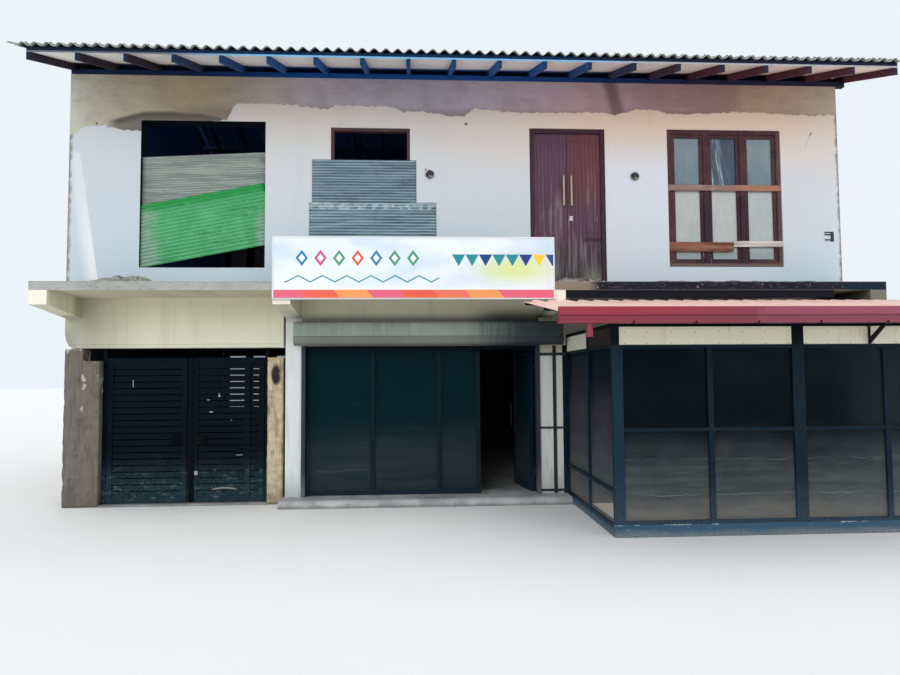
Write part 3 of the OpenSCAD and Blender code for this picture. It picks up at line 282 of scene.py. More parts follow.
# Painted shade: the reveals of the big opening are near black navy.
shaded_reveal = rise(y, 0.003, 0.010) * rise(abs(x + 3.62), 0.90, 0.87)
fall = (5.193 - z) * 0.895 + (5.028 - x) * 0.446
scratch = rise(abs((x - 5.028) * 0.895 - (z - 5.193) * 0.446) + (fine - 0.5) * 0.014, 0.014, 0.004)
scratch = scratch * rise(fall, -0.012, 0.0) * rise(fall, 0.23, 0.20) * (0.25 + rise(fall, 0.06, 0.03) * 0.6)
colour = coats(
    mix(bare, wash, cement),
    (worn, mix(fine, (104, 102, 96), (164, 160, 150))),
    (side_face, mix(drift, (140, 134, 125), (168, 160, 149))),
    (shaded_reveal, (2, 8, 26)),
    (scratch, (66, 74, 66)))
for u, v, size in ((0.012, 5.259, 0.03), (-5.06, 5.20, 0.02), (-0.56, 4.60, 0.02)):
    near = reach(x - u, z - v)
    colour = mix(rise(near + (fine - 0.5) * 0.02, size, size * 0.4) * 0.85, colour, (62, 54, 50))
foot = rise(z + (chips - 0.5) * 0.06, 2.96, 2.92) * rise(y, 0.1, 0.0)
inside = rise(y, 0.2245, 0.2249)
relief = fine * 0.3 + chips * 0.3 + (1 - bare) * 0.35 + drift * 0.5
colour = coats(
    colour,
    (foot * 0.5, (150, 144, 132)),
    (inside, (88, 138, 216)))
close(colour, 0.88 + bare * 0.06 - painted_sunlit_wedge * 0.25, relief, 0.006, gloss=0.2)
dress(wall_paint, "upper_front_wall")


# Party walls and back wall: rendered brick, unpainted, with the joints of each lift, damp at the foot and
# dark runs under the eaves. Indoors they are painted dark as shade in the shop and are blue on the upper
# storey, and their tops behind the eaves are painted dark as shade.
def tooth(value):
    """0 in the middle of each whole step of the value and 0.5 at both its ends."""
    return abs(value.math("FRACT", value) - 0.5)


party_render, at, x, y, z = start("bare_cement_render")
broad, drift, fine = cloud(at, 0.5, 4, 0.6), cloud(at, 2.2, 5, 0.6), cloud(at, 42, 4)
run = cloud(at, 2.4, 4, 0.6, (1, 1, 0.07))
lift = 1.1
joint = rise(tooth(z / lift), 0.488, 0.498)
# Indoors: painted shade in the shop, and blue paint on the upper storey.
indoor_shade_and_blue = mix(rise(z, 2.84, 2.85), (54, 54, 58), (88, 138, 216))
colour = coats(
    mix(rise(broad, 0.36, 0.64), (150, 143, 134), (176, 168, 156)),
    (rise(drift, 0.5, 0.72) * 0.5, (128, 121, 113)),
    (rise(run, 0.5, 0.72) * rise(z, 1.5, 5.9) * 0.55, (92, 88, 84)),
    (rise(z + (drift - 0.5) * 0.6, 0.75, 0.1) * 0.7, (104, 102, 92)),
    (joint * 0.35, (96, 92, 86)),
    (rise(abs(x), 5.197, 5.193) * rise(y, 6.380, 6.376), indoor_shade_and_blue),
    # Painted shade on the wall tops behind the eaves.
    (rise(z, 5.88, 5.92) * rise(y, 0.5, 0.45), (30, 28, 32)))
close(colour, 0.92, fine * 0.35 + drift * 0.6 - joint * 0.3, 0.006, gloss=0.2)
dress(party_render, "left_side_wall", "right_side_wall", "back_wall")

# Shop floor, gate floor and front step: cast concrete, floated smooth, worn pale where feet pass, darker
# along the ground, and painted darker indoors as shade.
cast_floor, at, x, y, z = start("floated_concrete")
drift, fine = cloud(at, 2.6, 5, 0.6), cloud(at, 55, 4)
colour = coats(
    mix(rise(drift, 0.35, 0.68), (150, 152, 152), (186, 188, 188)),
    (rise(z + (drift - 0.5) * 0.05, 0.05, 0.0) * 0.7, (104, 106, 104)),
    # Painted shade indoors.
    (rise(y, 0.18, 0.5) * 0.6, (92, 90, 88)),
    (rise(cloud(at, 14, 3), 0.62, 0.7) * 0.35, (112, 112, 110)))
close(colour, 0.8, fine * 0.4 + drift * 0.5, 0.003, gloss=0.3)
dress(cast_floor, "ground_floor", "front_step")

# First floor slab: cast concrete that runs out as the canopy. Its soffit is painted cream, its edge is
# bare: pale grey on the left, black with weather and lime specks on the right, brown beside the sign.
slab_paint, at, x, y, z = start("weathered_slab")
drift, fine, speck = cloud(at, 3.1, 5, 0.65), cloud(at, 48, 4, 0.6), cloud(at, 26, 2, 0.5)
brown = mix(drift, (116, 104, 92), (150, 138, 124))
pale_end = mix(drift, (132, 136, 132), (188, 190, 184))
pale_end = mix(rise(cloud(at, 7, 5, 0.7, (1, 1, 3)), 0.52, 0.68) * 0.4, pale_end, (92, 90, 84))
black_end = coats(
    mix(drift, (12, 14, 22), (38, 38, 50)),
    (rise(cloud(at, 30, 5, 0.7, (0.4, 1, 1)), 0.5, 0.7) * 0.4, (92, 90, 104)),
    (rise(speck, 0.66, 0.72) * 0.6, (158, 156, 156)))
bare_edge = coats(
    mix(rise(x, 0.7, 0.9), pale_end, brown),
    (rise(x + (drift - 0.5) * 0.3, 1.45, 1.62), black_end),
    (rise(x, 4.82, 4.88) * 0.85, (16, 40, 54)),
    (rise(y + (drift - 0.5) * 0.06, -0.04, 0.0), mix(drift, (138, 132, 124), (170, 163, 152))))
soffit = coats(
    mix(drift, (192, 188, 162), (206, 202, 178)),
    (rise(x, 1.0, 1.6) * 0.45, (120, 116, 108)),
    (rise(x, 4.9, 5.1) * 0.85, (66, 70, 62)),
    (rise(cloud(at, 1.3, 4, 0.6, (1, 0.2, 1)), 0.52, 0.7) * 0.3, (150, 146, 128)))
chipped = rise(z + (fine - 0.5) * 0.012, 2.893, 2.901) * rise(y, -0.86, -0.885)
colour = mix(rise(z, 2.7955, 2.7975), soffit, bare_edge)
colour = mix(chipped * 0.4, colour, (150, 148, 140))
close(colour, 0.92, fine * 0.5 + drift * 0.6, 0.010, gloss=0.2)
dress(slab_paint, "first_floor_slab")


# Mortar droppings: what fell from the plasterer's hawk and set on the slab before the wall, in low uneven
# banks near the left end and before the upper door. Black street dirt has settled along the right edge.
def sheet(bm, columns, rows, place):
    """An open sheet whose points lie where place says, from their shares of its length and breadth."""
    made = bmesh.ops.create_grid(bm, x_segments=columns, y_segments=rows, size=0.5)["verts"]
    for v in made:
        v.co = place(v.co.x + 0.5, v.co.y + 0.5)
    return list(dict.fromkeys(f for v in made for f in v.link_faces))


droppings, at, x, y, z = start("set_mortar")
lump = cloud(at, 22, 5, 0.65)
pale = mix(rise(x, 1.0, 1.5), mix(rise(lump, 0.35, 0.65), (104, 106, 98), (176, 178, 168)),
           mix(rise(cloud(at, 34, 4, 0.7), 0.5, 0.62), (88, 76, 72), (214, 200, 188)))
grime = mix(rise(lump, 0.5, 0.7), (16, 18, 26), (70, 70, 82))
close(mix(rise(x + (lump - 0.5) * 0.2, 1.72, 1.84), pale, grime), 0.95, lump, 0.010, gloss=0.2)
foot_z, skin_z = 2.9051, 2.9057
bank_front, bank_depth = -0.86, 0.36
bm = bmesh.new()
for first, last, tall in ((-4.80, -3.95, 0.115), (1.02, 1.85, 0.080), (-3.0, -2.6, 0.030),
                          (1.60, 5.39, 0.034)):
    def heap(u, w):
        x_at = first + (last - first) * u
        swell = min(u * 4, (1 - u) * 4, 1) * math.sin(math.pi * w) ** 0.8
        lumps = 0.7 + 0.6 * noise.noise(Vector((x_at * 6, w * 2, 3)))
        lumps += 0.2 * noise.noise(Vector((x_at * 17, w * 5, 8)))
        return Vector((x_at, bank_front + bank_depth * w, skin_z + tall * swell * max(lumps, 0.1)))

    for v in bmesh.ops.extrude_face_region(bm, geom=sheet(bm, 60, 8, heap))["geom"]:
        if isinstance(v, bmesh.types.BMVert):
            v.co.z = foot_z
bmesh.ops.recalc_face_normals(bm, faces=bm.faces)
bank = make("mortar_bank", bm, droppings)
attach(bank, "building")

# Brackets and lintels: concrete under a smooth skim, painted cream and dusty. Rain has drawn faint
# vertical smears down their faces, and the bracket ends are chalky white and grey. Painted light pales the
# lintels towards their foot, and painted shade darkens them above the shutter hood, beside it under the
# annex roof, behind the left bracket and towards the left end.
cream_paint, at, x, y, z = start("dusty_cream_paint")
drift, fine = cloud(at, 1.6, 5, 0.6), cloud(at, 46, 4)
smears = cloud(at, 5.5, 4, 0.6, (1, 1, 0.06))
end = rise(y, -0.80, -0.885)
chalk = mix(cloud(at, 12, 5, 0.7), (222, 216, 194), (255, 252, 238))
grime = rise(z + (fine - 0.5) * 0.02, 2.127, 2.117) + rise(abs(z - 2.165), 0.012, 0.004) * 0.5
# Painted shade on the lintel just above the shutter hood.
under = rise(z, 2.60, 2.47) * rise(x, -2.45, -2.3) * rise(x, 1.15, 1.0)
# Painted shade in the corner behind the left bracket.
corner = rise(x + (drift - 0.5) * 0.2, -5.22, -5.38) * rise(z, 2.5, 2.2)
# Painted shade that grows towards the left end.
left_end_shade = rise(x + (drift - 0.5) * 0.4, -4.2, -5.3) * rise(y, -0.3, -0.1)
colour = coats(
    mix(drift, (208, 207, 180), (222, 220, 198)),
    # Painted light from the ground pales the lower part.
    (rise(z, 2.62, 2.18) * 0.55, (216, 214, 200)),
    (rise(smears, 0.5, 0.7) * 0.25, (176, 172, 150)),
    (rise(smears, 0.44, 0.32) * 0.25, (224, 221, 206)),
    (end * 0.9, chalk),
    (grime * 0.45 * rise(x, -2.5, -2.6), (120, 112, 96)),
    (under * 0.7, (74, 82, 84)),
    # Painted shade beside the hood, under the annex roof.
    (rise(x, -0.1, 0.5) * rise(x, 1.15, 1.0) * rise(z, 2.74, 2.5) * 0.75, (32, 40, 48)),
    (rise(x + (drift - 0.5) * 0.1, 4.95, 5.08) * rise(z, 2.1, 2.2) * 0.85, (66, 70, 62)),
    (corner * 0.5, (146, 138, 124)),
    (left_end_shade * 0.5, (112, 110, 96)))
close(colour, 0.78, fine * 0.25 + drift * 0.7, 0.005, gloss=0.25)
dress(cream_paint, "canopy_brackets", "gate_lintel", "shop_lintels")

# Gate pillars: brick under a rough brown render that has never been painted, hacked and broken at its
# edges, streaked downwards, with one soot mark on the right pillar. Each is cut fine, then its skin is
# roughened.
pillar_render, at, x, y, z = start("rough_brown_render")
grit, lump = cloud(at, 60, 5, 0.7), cloud(at, 7, 5, 0.65)
run = cloud(at, 16, 5, 0.6, (1, 1, 0.12))
left = rise(x, -4.0, -4.2)
blotch = cloud(at, 9, 3, 0.5, (1, 1, 0.6))
oval = reach(x + 2.615, z - 1.741, 5.0, 0.8)
colour = coats(
    mix(rise(lump, 0.35, 0.65), (170, 154, 130), (208, 190, 160)),
    (rise(run, 0.5, 0.64) * 0.72, (116, 102, 84)),
    (rise(run, 0.46, 0.34) * 0.5, (196, 176, 146)),
    (left * 0.84, (88, 88, 85)),
    (left * rise(blotch, 0.60, 0.66) * rise(z, 1.2, 1.35) * 0.8, (206, 202, 190)),
    (left * rise(cloud(at, 5, 4), 0.52, 0.64) * 0.45, (84, 76, 66)),
    (rise(oval + (lump - 0.5) * 0.08, 0.17, 0.09) * 0.95, (18, 16, 20)),
    (rise(z + (lump - 0.5) * 0.3, 0.35, 0.02) * 0.5, (98, 92, 84)))
close(colour, 0.95, grit * 0.45 + lump * 0.8, 0.012, gloss=0.15)
skin_depth, bite_depth = 0.010, 0.016
bm = bmesh.new()
bm.from_mesh(nodes["gate_pillars"].data)
bmesh.ops.remove_doubles(bm, verts=bm.verts, dist=0.0002)
bmesh.ops.dissolve_limit(bm, angle_limit=0.01, verts=bm.verts, edges=bm.edges)
for axis, first, last, cuts in ((0, -5.417, -2.513, 84), (1, 0.0, 0.225, 6), (2, 0.0, 2.115, 60)):
    out = Vector([k == axis for k in range(3)])
    for k in range(1, cuts):
        bmesh.ops.bisect_plane(bm, geom=bm.verts[:] + bm.edges[:] + bm.faces[:],
                               plane_co=out * (first + (last - first) * k / cuts), plane_no=out)
bm.normal_update()
moves = {}
for v in bm.verts:
    corner = any(e.calc_face_angle(0) > 0.8 for e in v.link_edges)
    rough = 0.5 + 0.5 * noise.fractal(v.co * 6, 0.9, 2.0, 4)
    bite = bite_depth * max(noise.noise(v.co * 11), 0) if corner else 0
    moves[v] = v.normal * (skin_depth * min(max(rough, 0), 1) + bite)
for v, move in moves.items():
    v.co -= move
pillars = make("rough_pillars", bm, pillar_render)
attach(pillars, "building")
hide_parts("gate_pillars")

# Shop columns: plastered and painted white, greyed by hands and rain towards the foot. The narrow strip
# beside the annex is the same plaster.
column_paint, at, x, y, z = start("white_column_paint")
drift, fine = cloud(at, 3.0, 5, 0.6), cloud(at, 50, 3)
smears = cloud(at, 12, 4, 0.6, (1, 1, 0.1))
colour = coats(
    mix(drift, (208, 213, 213), (222, 224, 222)),
    (rise(x, 0.6, 1.0) * 0.25, (196, 198, 186)),
    (rise(smears, 0.52, 0.7) * 0.4, (164, 166, 164)),
    (rise(z + (smears - 0.5) * 0.9, 0.50, 0.06) * 0.55, (146, 152, 150)),
    (rise(z, 2.42, 2.5) * 0.5, (150, 146, 130)),
    (rise(z, 2.02, 2.04) * rise(x, 0.9, 1.0) * 0.8, (196, 194, 166)))
close(colour, 0.75, fine * 0.3 + drift * 0.5, 0.004, gloss=0.25)
dress(column_paint, "shop_columns")

# Rafters, wall plates, ridge board and battens: sawn timber cut and notched over the plates. Its paint is
# brown at the left end, blue in the middle and purple red towards the right. Painted shade darkens the
# timber at the wall line and the front ends, and the wall plate is painted as dark navy shade, bluest in the
# middle.
old_timber, at, x, y, z = start("brown_painted_timber")
grain, drift = cloud(at, 26, 5, 0.6, (1, 0.08, 1)), cloud(at, 2.2, 4)
blue = rise(x + (drift - 0.5) * 1.2, -4.3, -2.4) * rise(x + (drift - 0.5) * 1.2, 2.8, 0.8)
red = rise(x + (drift - 0.5) * 1.5, 2.0, 3.8)
ridge_y = 3.3
from_ridge = abs(y - ridge_y)
plate = rise(abs(from_ridge - 3.2575), 0.044, 0.040) * rise(z, 5.968, 5.964)
half_roof = 5.6
# The wall plate is painted as dark navy shade, bluest in the middle.
plate_blue_and_shade = ramp((x + half_roof) / (2 * half_roof), (0.0, (18, 38, 70)), (0.18, (10, 40, 84)),
                   (0.32, (10, 76, 148)), (0.52, (28, 80, 150)), (0.68, (26, 54, 110)), (0.8, (38, 48, 80)),
                   (1.0, (40, 44, 62)))
colour = coats(
    mix(grain, (36, 30, 42), (68, 56, 70)),
    (blue * 0.88, mix(grain, (12, 62, 128), (52, 112, 178))),
    (red * 0.75, mix(grain, (66, 36, 52), (116, 66, 80))),
    (rise(drift, 0.58, 0.75) * 0.3, (100, 92, 98)),
    # Painted shade on the timber at and behind the wall line, deepest to the right.
    (rise(from_ridge, 3.40, 3.31) * (0.25 + rise(x, 1.0, 2.5) * 0.6), (14, 16, 32)),
    (rise(from_ridge, 3.12, 3.06) * rise(abs(x), 5.19, 5.17) * 0.8, (60, 96, 160)),
    # Painted shade on the front ends of the rafters and battens.
    (rise(from_ridge, 4.355, 4.365) * 0.8, (12, 38, 62)),
    (plate * 0.9, plate_blue_and_shade))
close(colour, 0.8, grain, 0.003, gloss=0.15)
dress(old_timber, "rafters", "wall_plates", "ridge_and_battens")

# Eave boards: thin planed boards laid edge to edge over the rafters and painted cream, with dark joints
# and brown water marks, and a painted warm light towards the right. Behind the wall line they are painted
# as shade, dark navy at the sides and blue in the middle, and their front lip is blue in the middle, dark
# blue grey to the left and pale grey to the right.
board_paint, at, x, y, z = start("cream_eave_boards")
drift, grain = cloud(at, 2.0, 4, 0.6), cloud(at, 30, 4, 0.6, (0.08, 1, 1))
board_pitch = 0.148
joint = rise(tooth(y / board_pitch), 0.47, 0.495)
from_ridge = abs(y - ridge_y)
mark = rise(cloud(at, 1.4, 5, 0.65), 0.54, 0.68)
blue_part = rise(x, -3.9, -2.6) * rise(x, 2.6, 1.2)
lip = mix(blue_part, mix(rise(x, -1.0, 1.0), (64, 84, 108), (170, 174, 184)), (104, 184, 240))
colour = coats(
    mix(drift, (246, 238, 234), (254, 248, 246)),
    # Painted warm light towards the right.
    (rise(x, 2.0, 4.6) * 0.6, (255, 230, 212)),
    (joint * 0.55, (120, 100, 84)),
    (mark * 0.3, (186, 160, 136)),
    # Painted shade behind the wall line, dark navy at the sides and blue in the middle.
    (rise(from_ridge, 3.39, 3.35) * 0.9, mix(blue_part, (30, 40, 66), (14, 104, 200))),
    (rise(from_ridge, 4.362, 4.367) * 0.9, lip))
close(colour, 0.75, grain * 0.5 - joint, 0.003, gloss=0.25)
dress(board_paint, "eave_boards")


# Roof sheets: pressed fibre cement in sheets about a metre wide, laid in two rows from the eaves up. Each
# sheet laps one wave over the next one and 160 mm over the row below, and lies on the boards and battens.
def thicken(bm, faces, step):
    """Gives an open sheet its thickness in one direction and closes its edges."""
    made = bmesh.ops.extrude_face_region(bm, geom=faces)["geom"]
    bmesh.ops.translate(bm, verts=[v for v in made if isinstance(v, bmesh.types.BMVert)], vec=step)


def soft(value, low, high):
    """0 at low, 1 at high, and a smooth climb between them."""
    part = min(max((value - low) / (high - low), 0), 1)
    return part * part * (3 - 2 * part)


def upward(at):
    """How far a surface faces up, from 1 on a floor to -1 on a ceiling."""
    return at.node("SeparateXYZ", {0: at.node("NewGeometry", out=1)}).also(2)


fibre_cement, at, x, y, z = start("weathered_fibre_cement")
drift, fine, spot = cloud(at, 1.3, 5, 0.65), cloud(at, 60, 4), cloud(at, 8, 4, 0.6)
run = cloud(at, 7, 4, 0.6, (1, 0.12, 0.12))
from_ridge = abs(y - ridge_y)
tip = rise(from_ridge, 4.40, 4.45)
# Painted shade: the undersides of the sheets are dark navy near the eaves; inside they are blue.
under = mix(rise(from_ridge, 3.2, 3.1) * rise(abs(x), 5.19, 5.15), (26, 44, 74), (100, 150, 225))
colour = coats(
    mix(rise(drift, 0.30, 0.70), (120, 122, 120), (156, 156, 150)),
    (rise(run, 0.5, 0.7) * 0.5, (80, 82, 80)),
    (rise(spot, 0.60, 0.70) * 0.45, (186, 186, 176)),
    (rise(cloud(at, 3.6, 5, 0.7), 0.56, 0.68) * 0.4, (84, 88, 66)),
    (tip * 0.55, (206, 206, 200)),
    (rise(upward(at), 0.0, -0.2) * rise(from_ridge, 4.40, 4.36) * 0.9, under))
close(colour, 0.9, fine * 0.5 + spot * 0.4, 0.004, gloss=0.2)
slope = math.radians(18.5)
roof_left, eave_y, eave_z, house_depth = -5.597, -1.15, 5.7155, 6.6
roof_width, roof_waves, cover_waves, sheet_waves = 11.194, 77, 7, 8
wave = roof_width / roof_waves
mid_wave, half_wave, sheet_thick, row_lap = 0.022, 0.0218, 0.0048, 0.006
for name, node, back in (("front_slope_sheets", "front_roof_sheets", False),
                         ("back_slope_sheets", "back_roof_sheets", True)):
    bm = bmesh.new()
    for row, (low_end, high_end) in enumerate(((0.005, 2.42), (2.26, 4.665))):
        for k in range(roof_waves // cover_waves):
            first = k * cover_waves
            waves = min(sheet_waves, roof_waves - first)

            def lie(u, w):
                u, up = first + u * waves, low_end + w * (high_end - low_end)
                lap = sheet_thick * soft(u, first + 6.5, first + 6.9) * (waves == sheet_waves)
                lap += row * row_lap * soft(up, 3.3, 2.5)
                sag = 0.0016 * noise.noise(Vector((k * 3.1 + row, up * 0.6, 2))) * (up > 0.2)
                out = mid_wave + half_wave * math.sin(math.tau * u + math.radians(30)) + lap + sag
                depth = eave_y + up * math.cos(slope) - out * math.sin(slope)
                height = eave_z + up * math.sin(slope) + out * math.cos(slope)
                return Vector((roof_left + u * wave, house_depth - depth if back else depth, height))

            thick = Vector((0, math.sin(slope) * (1 if back else -1), math.cos(slope))) * sheet_thick
            thicken(bm, sheet(bm, waves * 12, 5, lie), thick)
    bmesh.ops.recalc_face_normals(bm, faces=bm.faces)
    sheets = make(name, bm, fibre_cement)
    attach(sheets, "building")
    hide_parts(node)
dress(fibre_cement, "ridge_cap")


# Roof bolts: galvanised hook bolts through every second crest, each under a dished washer and a black
# cap.
def round_head(bm, spot_at, turn, foot, top, tall):
    """A small eight sided head with the radii of its foot and its top."""
    bmesh.ops.create_cone(bm, cap_ends=True, segments=8, radius1=foot, radius2=top, depth=tall,
                          matrix=Matrix.Translation(spot_at) @ turn)


bolt_paint, at, x, y, z = start("black_bolt_caps")
close(mix(cloud(at, 40, 3), (38, 38, 40), (74, 70, 66)), 0.6, gloss=0.3)
bm = bmesh.new()
crest = 0.053
for k in range(1, roof_waves, 2):
    for depth in (-1.045, 0.605, 1.505):
        for back in (False, True):
            up = (depth - eave_y) / math.cos(slope)
            spot_y = depth - crest * math.sin(slope)
            spot_at = Vector((roof_left + (k + 1 / 6) * wave, house_depth - spot_y if back else spot_y,
                              eave_z + up * math.sin(slope) + crest * math.cos(slope)))
            tilt = Matrix.Rotation(-slope if back else slope, 4, "X")
            round_head(bm, spot_at, tilt, foot=0.016, top=0.007, tall=0.012)
bolts = make("roof_bolts", bm, bolt_paint)
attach(bolts, "building")


# Loose sheets: thin corrugated iron stood in the two left openings. The grey one and the green one lean
# in the big opening; two dull zinc ones are nailed flat over the small window, the lower one bent along
# its top. Painted shade darkens the valleys of their waves, and painted highlights lie on the zinc crests
# and along the bent top.
def iron_sheet(bm, corner, wide, tall, pitch, tilt=0.0):
    """A corrugated sheet with waves across its height, turned by tilt about its lower left corner."""
    mid_wave, half_wave, dents, thick = 0.0074, 0.006, 0.0012, 0.0008

    def lie(u, w):
        u, w = u * wide, w * tall
        bend = dents * noise.noise(Vector((u * 2.2, w * 5, tall * 9)))
        return Vector((u, mid_wave + half_wave * math.cos(math.tau * w / pitch) + bend, w))

    faces = sheet(bm, 36, round(tall / pitch) * 8, lie)
    thicken(bm, faces, (0, thick, 0))
    for f in faces:
        f.normal_flip()
    turn_by = Matrix.Translation(corner) @ Matrix.Rotation(math.radians(-tilt), 4, "Y")
    bmesh.ops.transform(bm, matrix=turn_by, verts=bm.verts)


def add_part(bm, part):
    """Puts a finished part into the bmesh of its piece."""
    spare = bpy.data.meshes.new("part")
    part.to_mesh(spare)
    part.free()
    bm.from_mesh(spare)
    bpy.data.meshes.remove(spare)


def trim(bm, low, high):
    """Cuts away what stands outside the opening."""
    for at_point, out in ((low, (-1, 0, 0)), (low, (0, 0, -1)), (high, (1, 0, 0)), (high, (0, 0, 1))):
        bmesh.ops.bisect_plane(bm, geom=bm.verts[:] + bm.edges[:] + bm.faces[:],
                               plane_co=at_point, plane_no=out, clear_outer=True)


grey_iron, at, x, y, z = start("weathered_grey_iron")
drift, fine = cloud(at, 4, 5, 0.65), cloud(at, 60, 4)
lines = cloud(at, 20, 5, 0.6, (0.08, 1, 1))
left, foot, lean, pitch = -4.524, 3.735, 0.0524, 0.03405
fold = tooth((z - foot - (x - left) * lean) / pitch + (lines - 0.5) * 0.3)
colour = coats(
    mix(rise(lines, 0.38, 0.62), (126, 138, 132), (158, 170, 163)),
    (rise(drift, 0.58, 0.72) * 0.35, (96, 102, 100)),
    # Painted shade along the valleys of the waves.
    (rise(fold, 0.28, 0.44) * rise(lines, 0.35, 0.5) * 0.5, (88, 98, 96)))
close(colour, 0.72, fine, 0.001, metallic=0.15)
bm = bmesh.new()
iron_sheet(bm, corner=(left, 0.0645, foot), wide=1.888, tall=1.02, pitch=0.034, tilt=3.0)
trim(bm, (-4.462, 0, 3.213), (-2.778, 0, 5.25))
bmesh.ops.recalc_face_normals(bm, faces=bm.faces)
grey = make("grey_iron_sheet", bm, grey_iron)
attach(grey, "building")
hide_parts("grey_sheet")

green_iron, at, x, y, z = start("green_coated_iron")
drift, fine = cloud(at, 3.5, 5, 0.65), cloud(at, 60, 4)
left, foot, lean, pitch = -4.494, 3.205, 0.1926, 0.0503
slant = z - foot - (x - left) * lean
line = cloud(at, 16, 4, 0.6, (0.1, 1, 1))
faded = rise(x + (drift - 0.5) * 0.5 + (z - 3.7) * 0.12, -4.16, -4.40) * rise(slant, 0.86, 0.7)
faded = capped(faded + rise(x + (drift - 0.5) * 0.2, -2.95, -2.84) * rise(slant, 0.7, 0.2))
fold = tooth(slant * 0.982 / pitch + (line - 0.5) * 0.3)
# Painted shade along the valleys of the waves.
valley_shade = rise(fold, 0.40, 0.48) * rise(cloud(at, 30, 3), 0.34, 0.52)
colour = coats(
    mix(rise(drift, 0.35, 0.65), (66, 162, 100), (84, 172, 116)),
    (rise(slant + (drift - 0.5) * 0.2, 0.70, 0.80), (18, 146, 66)),
    (faded * 0.8, (140, 166, 150)),
    (rise(line, 0.56, 0.7) * 0.4, (30, 96, 58)),
    (valley_shade * 0.75, (20, 66, 44)))
close(colour, 0.5, fine, 0.0008, gloss=0.4)
bm = bmesh.new()
iron_sheet(bm, corner=(left, 0.0355, foot), wide=1.888, tall=0.855, pitch=pitch, tilt=10.9)
trim(bm, (-4.462, 0, 3.214), (-2.778, 0, 5.25))
bmesh.ops.recalc_face_normals(bm, faces=bm.faces)
green = make("green_iron_sheet", bm, green_iron)
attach(green, "building")
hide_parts("green_sheet")

zinc, at, x, y, z = start("dull_blue_zinc")
drift, fine = cloud(at, 3, 5, 0.65), cloud(at, 70, 4)
lines = cloud(at, 17, 5, 0.65, (0.09, 1, 1))
lower_foot, upper_foot = 3.630, 4.132
fold = z.math("FRACT", (z - lower_foot) / 0.0417) * rise(z, 4.131, 4.130)
fold = fold + z.math("FRACT", (z - upper_foot) / 0.03973) * rise(z, 4.131, 4.132)
fold = abs(fold + (lines - 0.5) * 0.5 - 0.5)
# Painted highlight along the bent top of the lower sheet, which is also glossier.
painted_glint = rise(z + (drift - 0.5) * 0.05, 3.99, 4.06) * rise(z, 4.12, 4.10) * rise(cloud(at, 13, 4), 0.42, 0.6)
colour = coats(
    mix(rise(lines, 0.36, 0.64), (104, 126, 138), (150, 174, 186)),
    (rise(z, 4.13, 4.14) * 0.40, (86, 104, 118)),
    # Painted highlights on the crests, and painted shade in the valleys below them.
    (rise(fold, 0.16, 0.04) * 0.4, (168, 190, 200)),
    (rise(fold, 0.34, 0.44) * rise(lines, 0.3, 0.45) * 0.75, (38, 54, 68)),
    (rise(drift, 0.55, 0.7) * 0.4, (64, 72, 78)),
    (painted_glint * 0.7, (196, 208, 212)))
close(colour, 0.55 - painted_glint * 0.25, fine, 0.001, metallic=0.25)
bm = bmesh.new()
iron_sheet(bm, corner=(-2.134, -0.0165, upper_foot), wide=1.441, tall=0.596, pitch=0.0397)
lower = bmesh.new()
iron_sheet(lower, corner=(-2.172, -0.0165, lower_foot), wide=1.756, tall=0.50, pitch=0.0417)
for v in lower.verts:
    crush = soft(v.co.z, 3.98, 4.10)
    v.co.z -= crush * 0.012 * abs(noise.noise(Vector((v.co.x * 6, 1, 5))))
    v.co.y += crush * (0.0015 * noise.noise(Vector((v.co.x * 14, v.co.z * 20, 7))) - 0.0006)
add_part(bm, lower)
bmesh.ops.recalc_face_normals(bm, faces=bm.faces)
zincs = make("zinc_wall_sheets", bm, zinc)
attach(zincs, "building")
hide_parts("zinc_sheets")


# Upper double door: narrow tongued boards on a ledged back, between a top and a bottom rail, in a timber
# frame. The red brown paint has greyed and gone chalky towards the slab. Two brass pulls and a steel lock
# plate.
def block(bm, a, b, bevel=0.0):
    """A squared piece between two corners, with its edges taken off."""
    a, b = Vector(a), Vector(b)
    made = bmesh.ops.create_cube(
        bm, size=1, matrix=Matrix.Translation((a + b) / 2) @ Matrix.Diagonal((*(b - a), 1)))["verts"]
    if bevel:
        edges = list(dict.fromkeys(e for v in made for e in v.link_edges))
        bmesh.ops.bevel(bm, geom=edges, offset=bevel, segments=2, affect="EDGES", profile=0.5, material=-1)


def toss(value, shift=0.0):
    """One number by chance for each whole step of the value. Shift turns up another run of them."""
    return value.node("TexWhiteNoise", {"W": value.math("FLOOR", value) + shift}, noise_dimensions="1D")


door_paint, at, x, y, z = start("faded_red_brown_door")
grain, drift = cloud(at, 30, 5, 0.65, (1, 1, 0.05)), cloud(at, 3.4, 5, 0.6)
left_leaf_x, right_leaf_x, leaf_width, board_width = 0.971, 1.452, 0.477, 0.053
plank = toss((x - left_leaf_x) / board_width)
chalky = rise(grain + (drift - 0.5) * 0.4, 0.52, 0.70) * rise(z + (drift - 0.5) * 0.8, 5.0, 4.3)
greyed = rise(z + (drift - 0.5) * 0.9 + (grain - 0.5) * 0.6, 3.75, 3.15)
lichen = rise(z + (grain - 0.5) * 0.5, 3.30, 2.96) * rise(x + (drift - 0.5) * 0.3, 1.55, 1.75)
colour = coats(
    mix(grain, (56, 36, 50), (100, 74, 90)),
    (plank * 0.35, (98, 56, 70)),
    (rise(x + (drift - 0.5) * 0.2, 1.45, 1.6) * rise(z, 3.9, 4.5) * 0.4, (118, 46, 44)),
    (chalky * 0.55, (142, 128, 134)),
    (greyed * 0.7, mix(rise(grain, 0.4, 0.65), (56, 54, 62), (126, 128, 122))),
    (rise(abs(x - 1.81), 0.125, 0.115) * rise(abs(z - 3.625), 0.04, 0.02) * 0.7, (46, 24, 34)),
    (lichen * 0.6, (142, 150, 134)))
close(colour, 0.6 + greyed * 0.3, grain, 0.002, gloss=0.3)
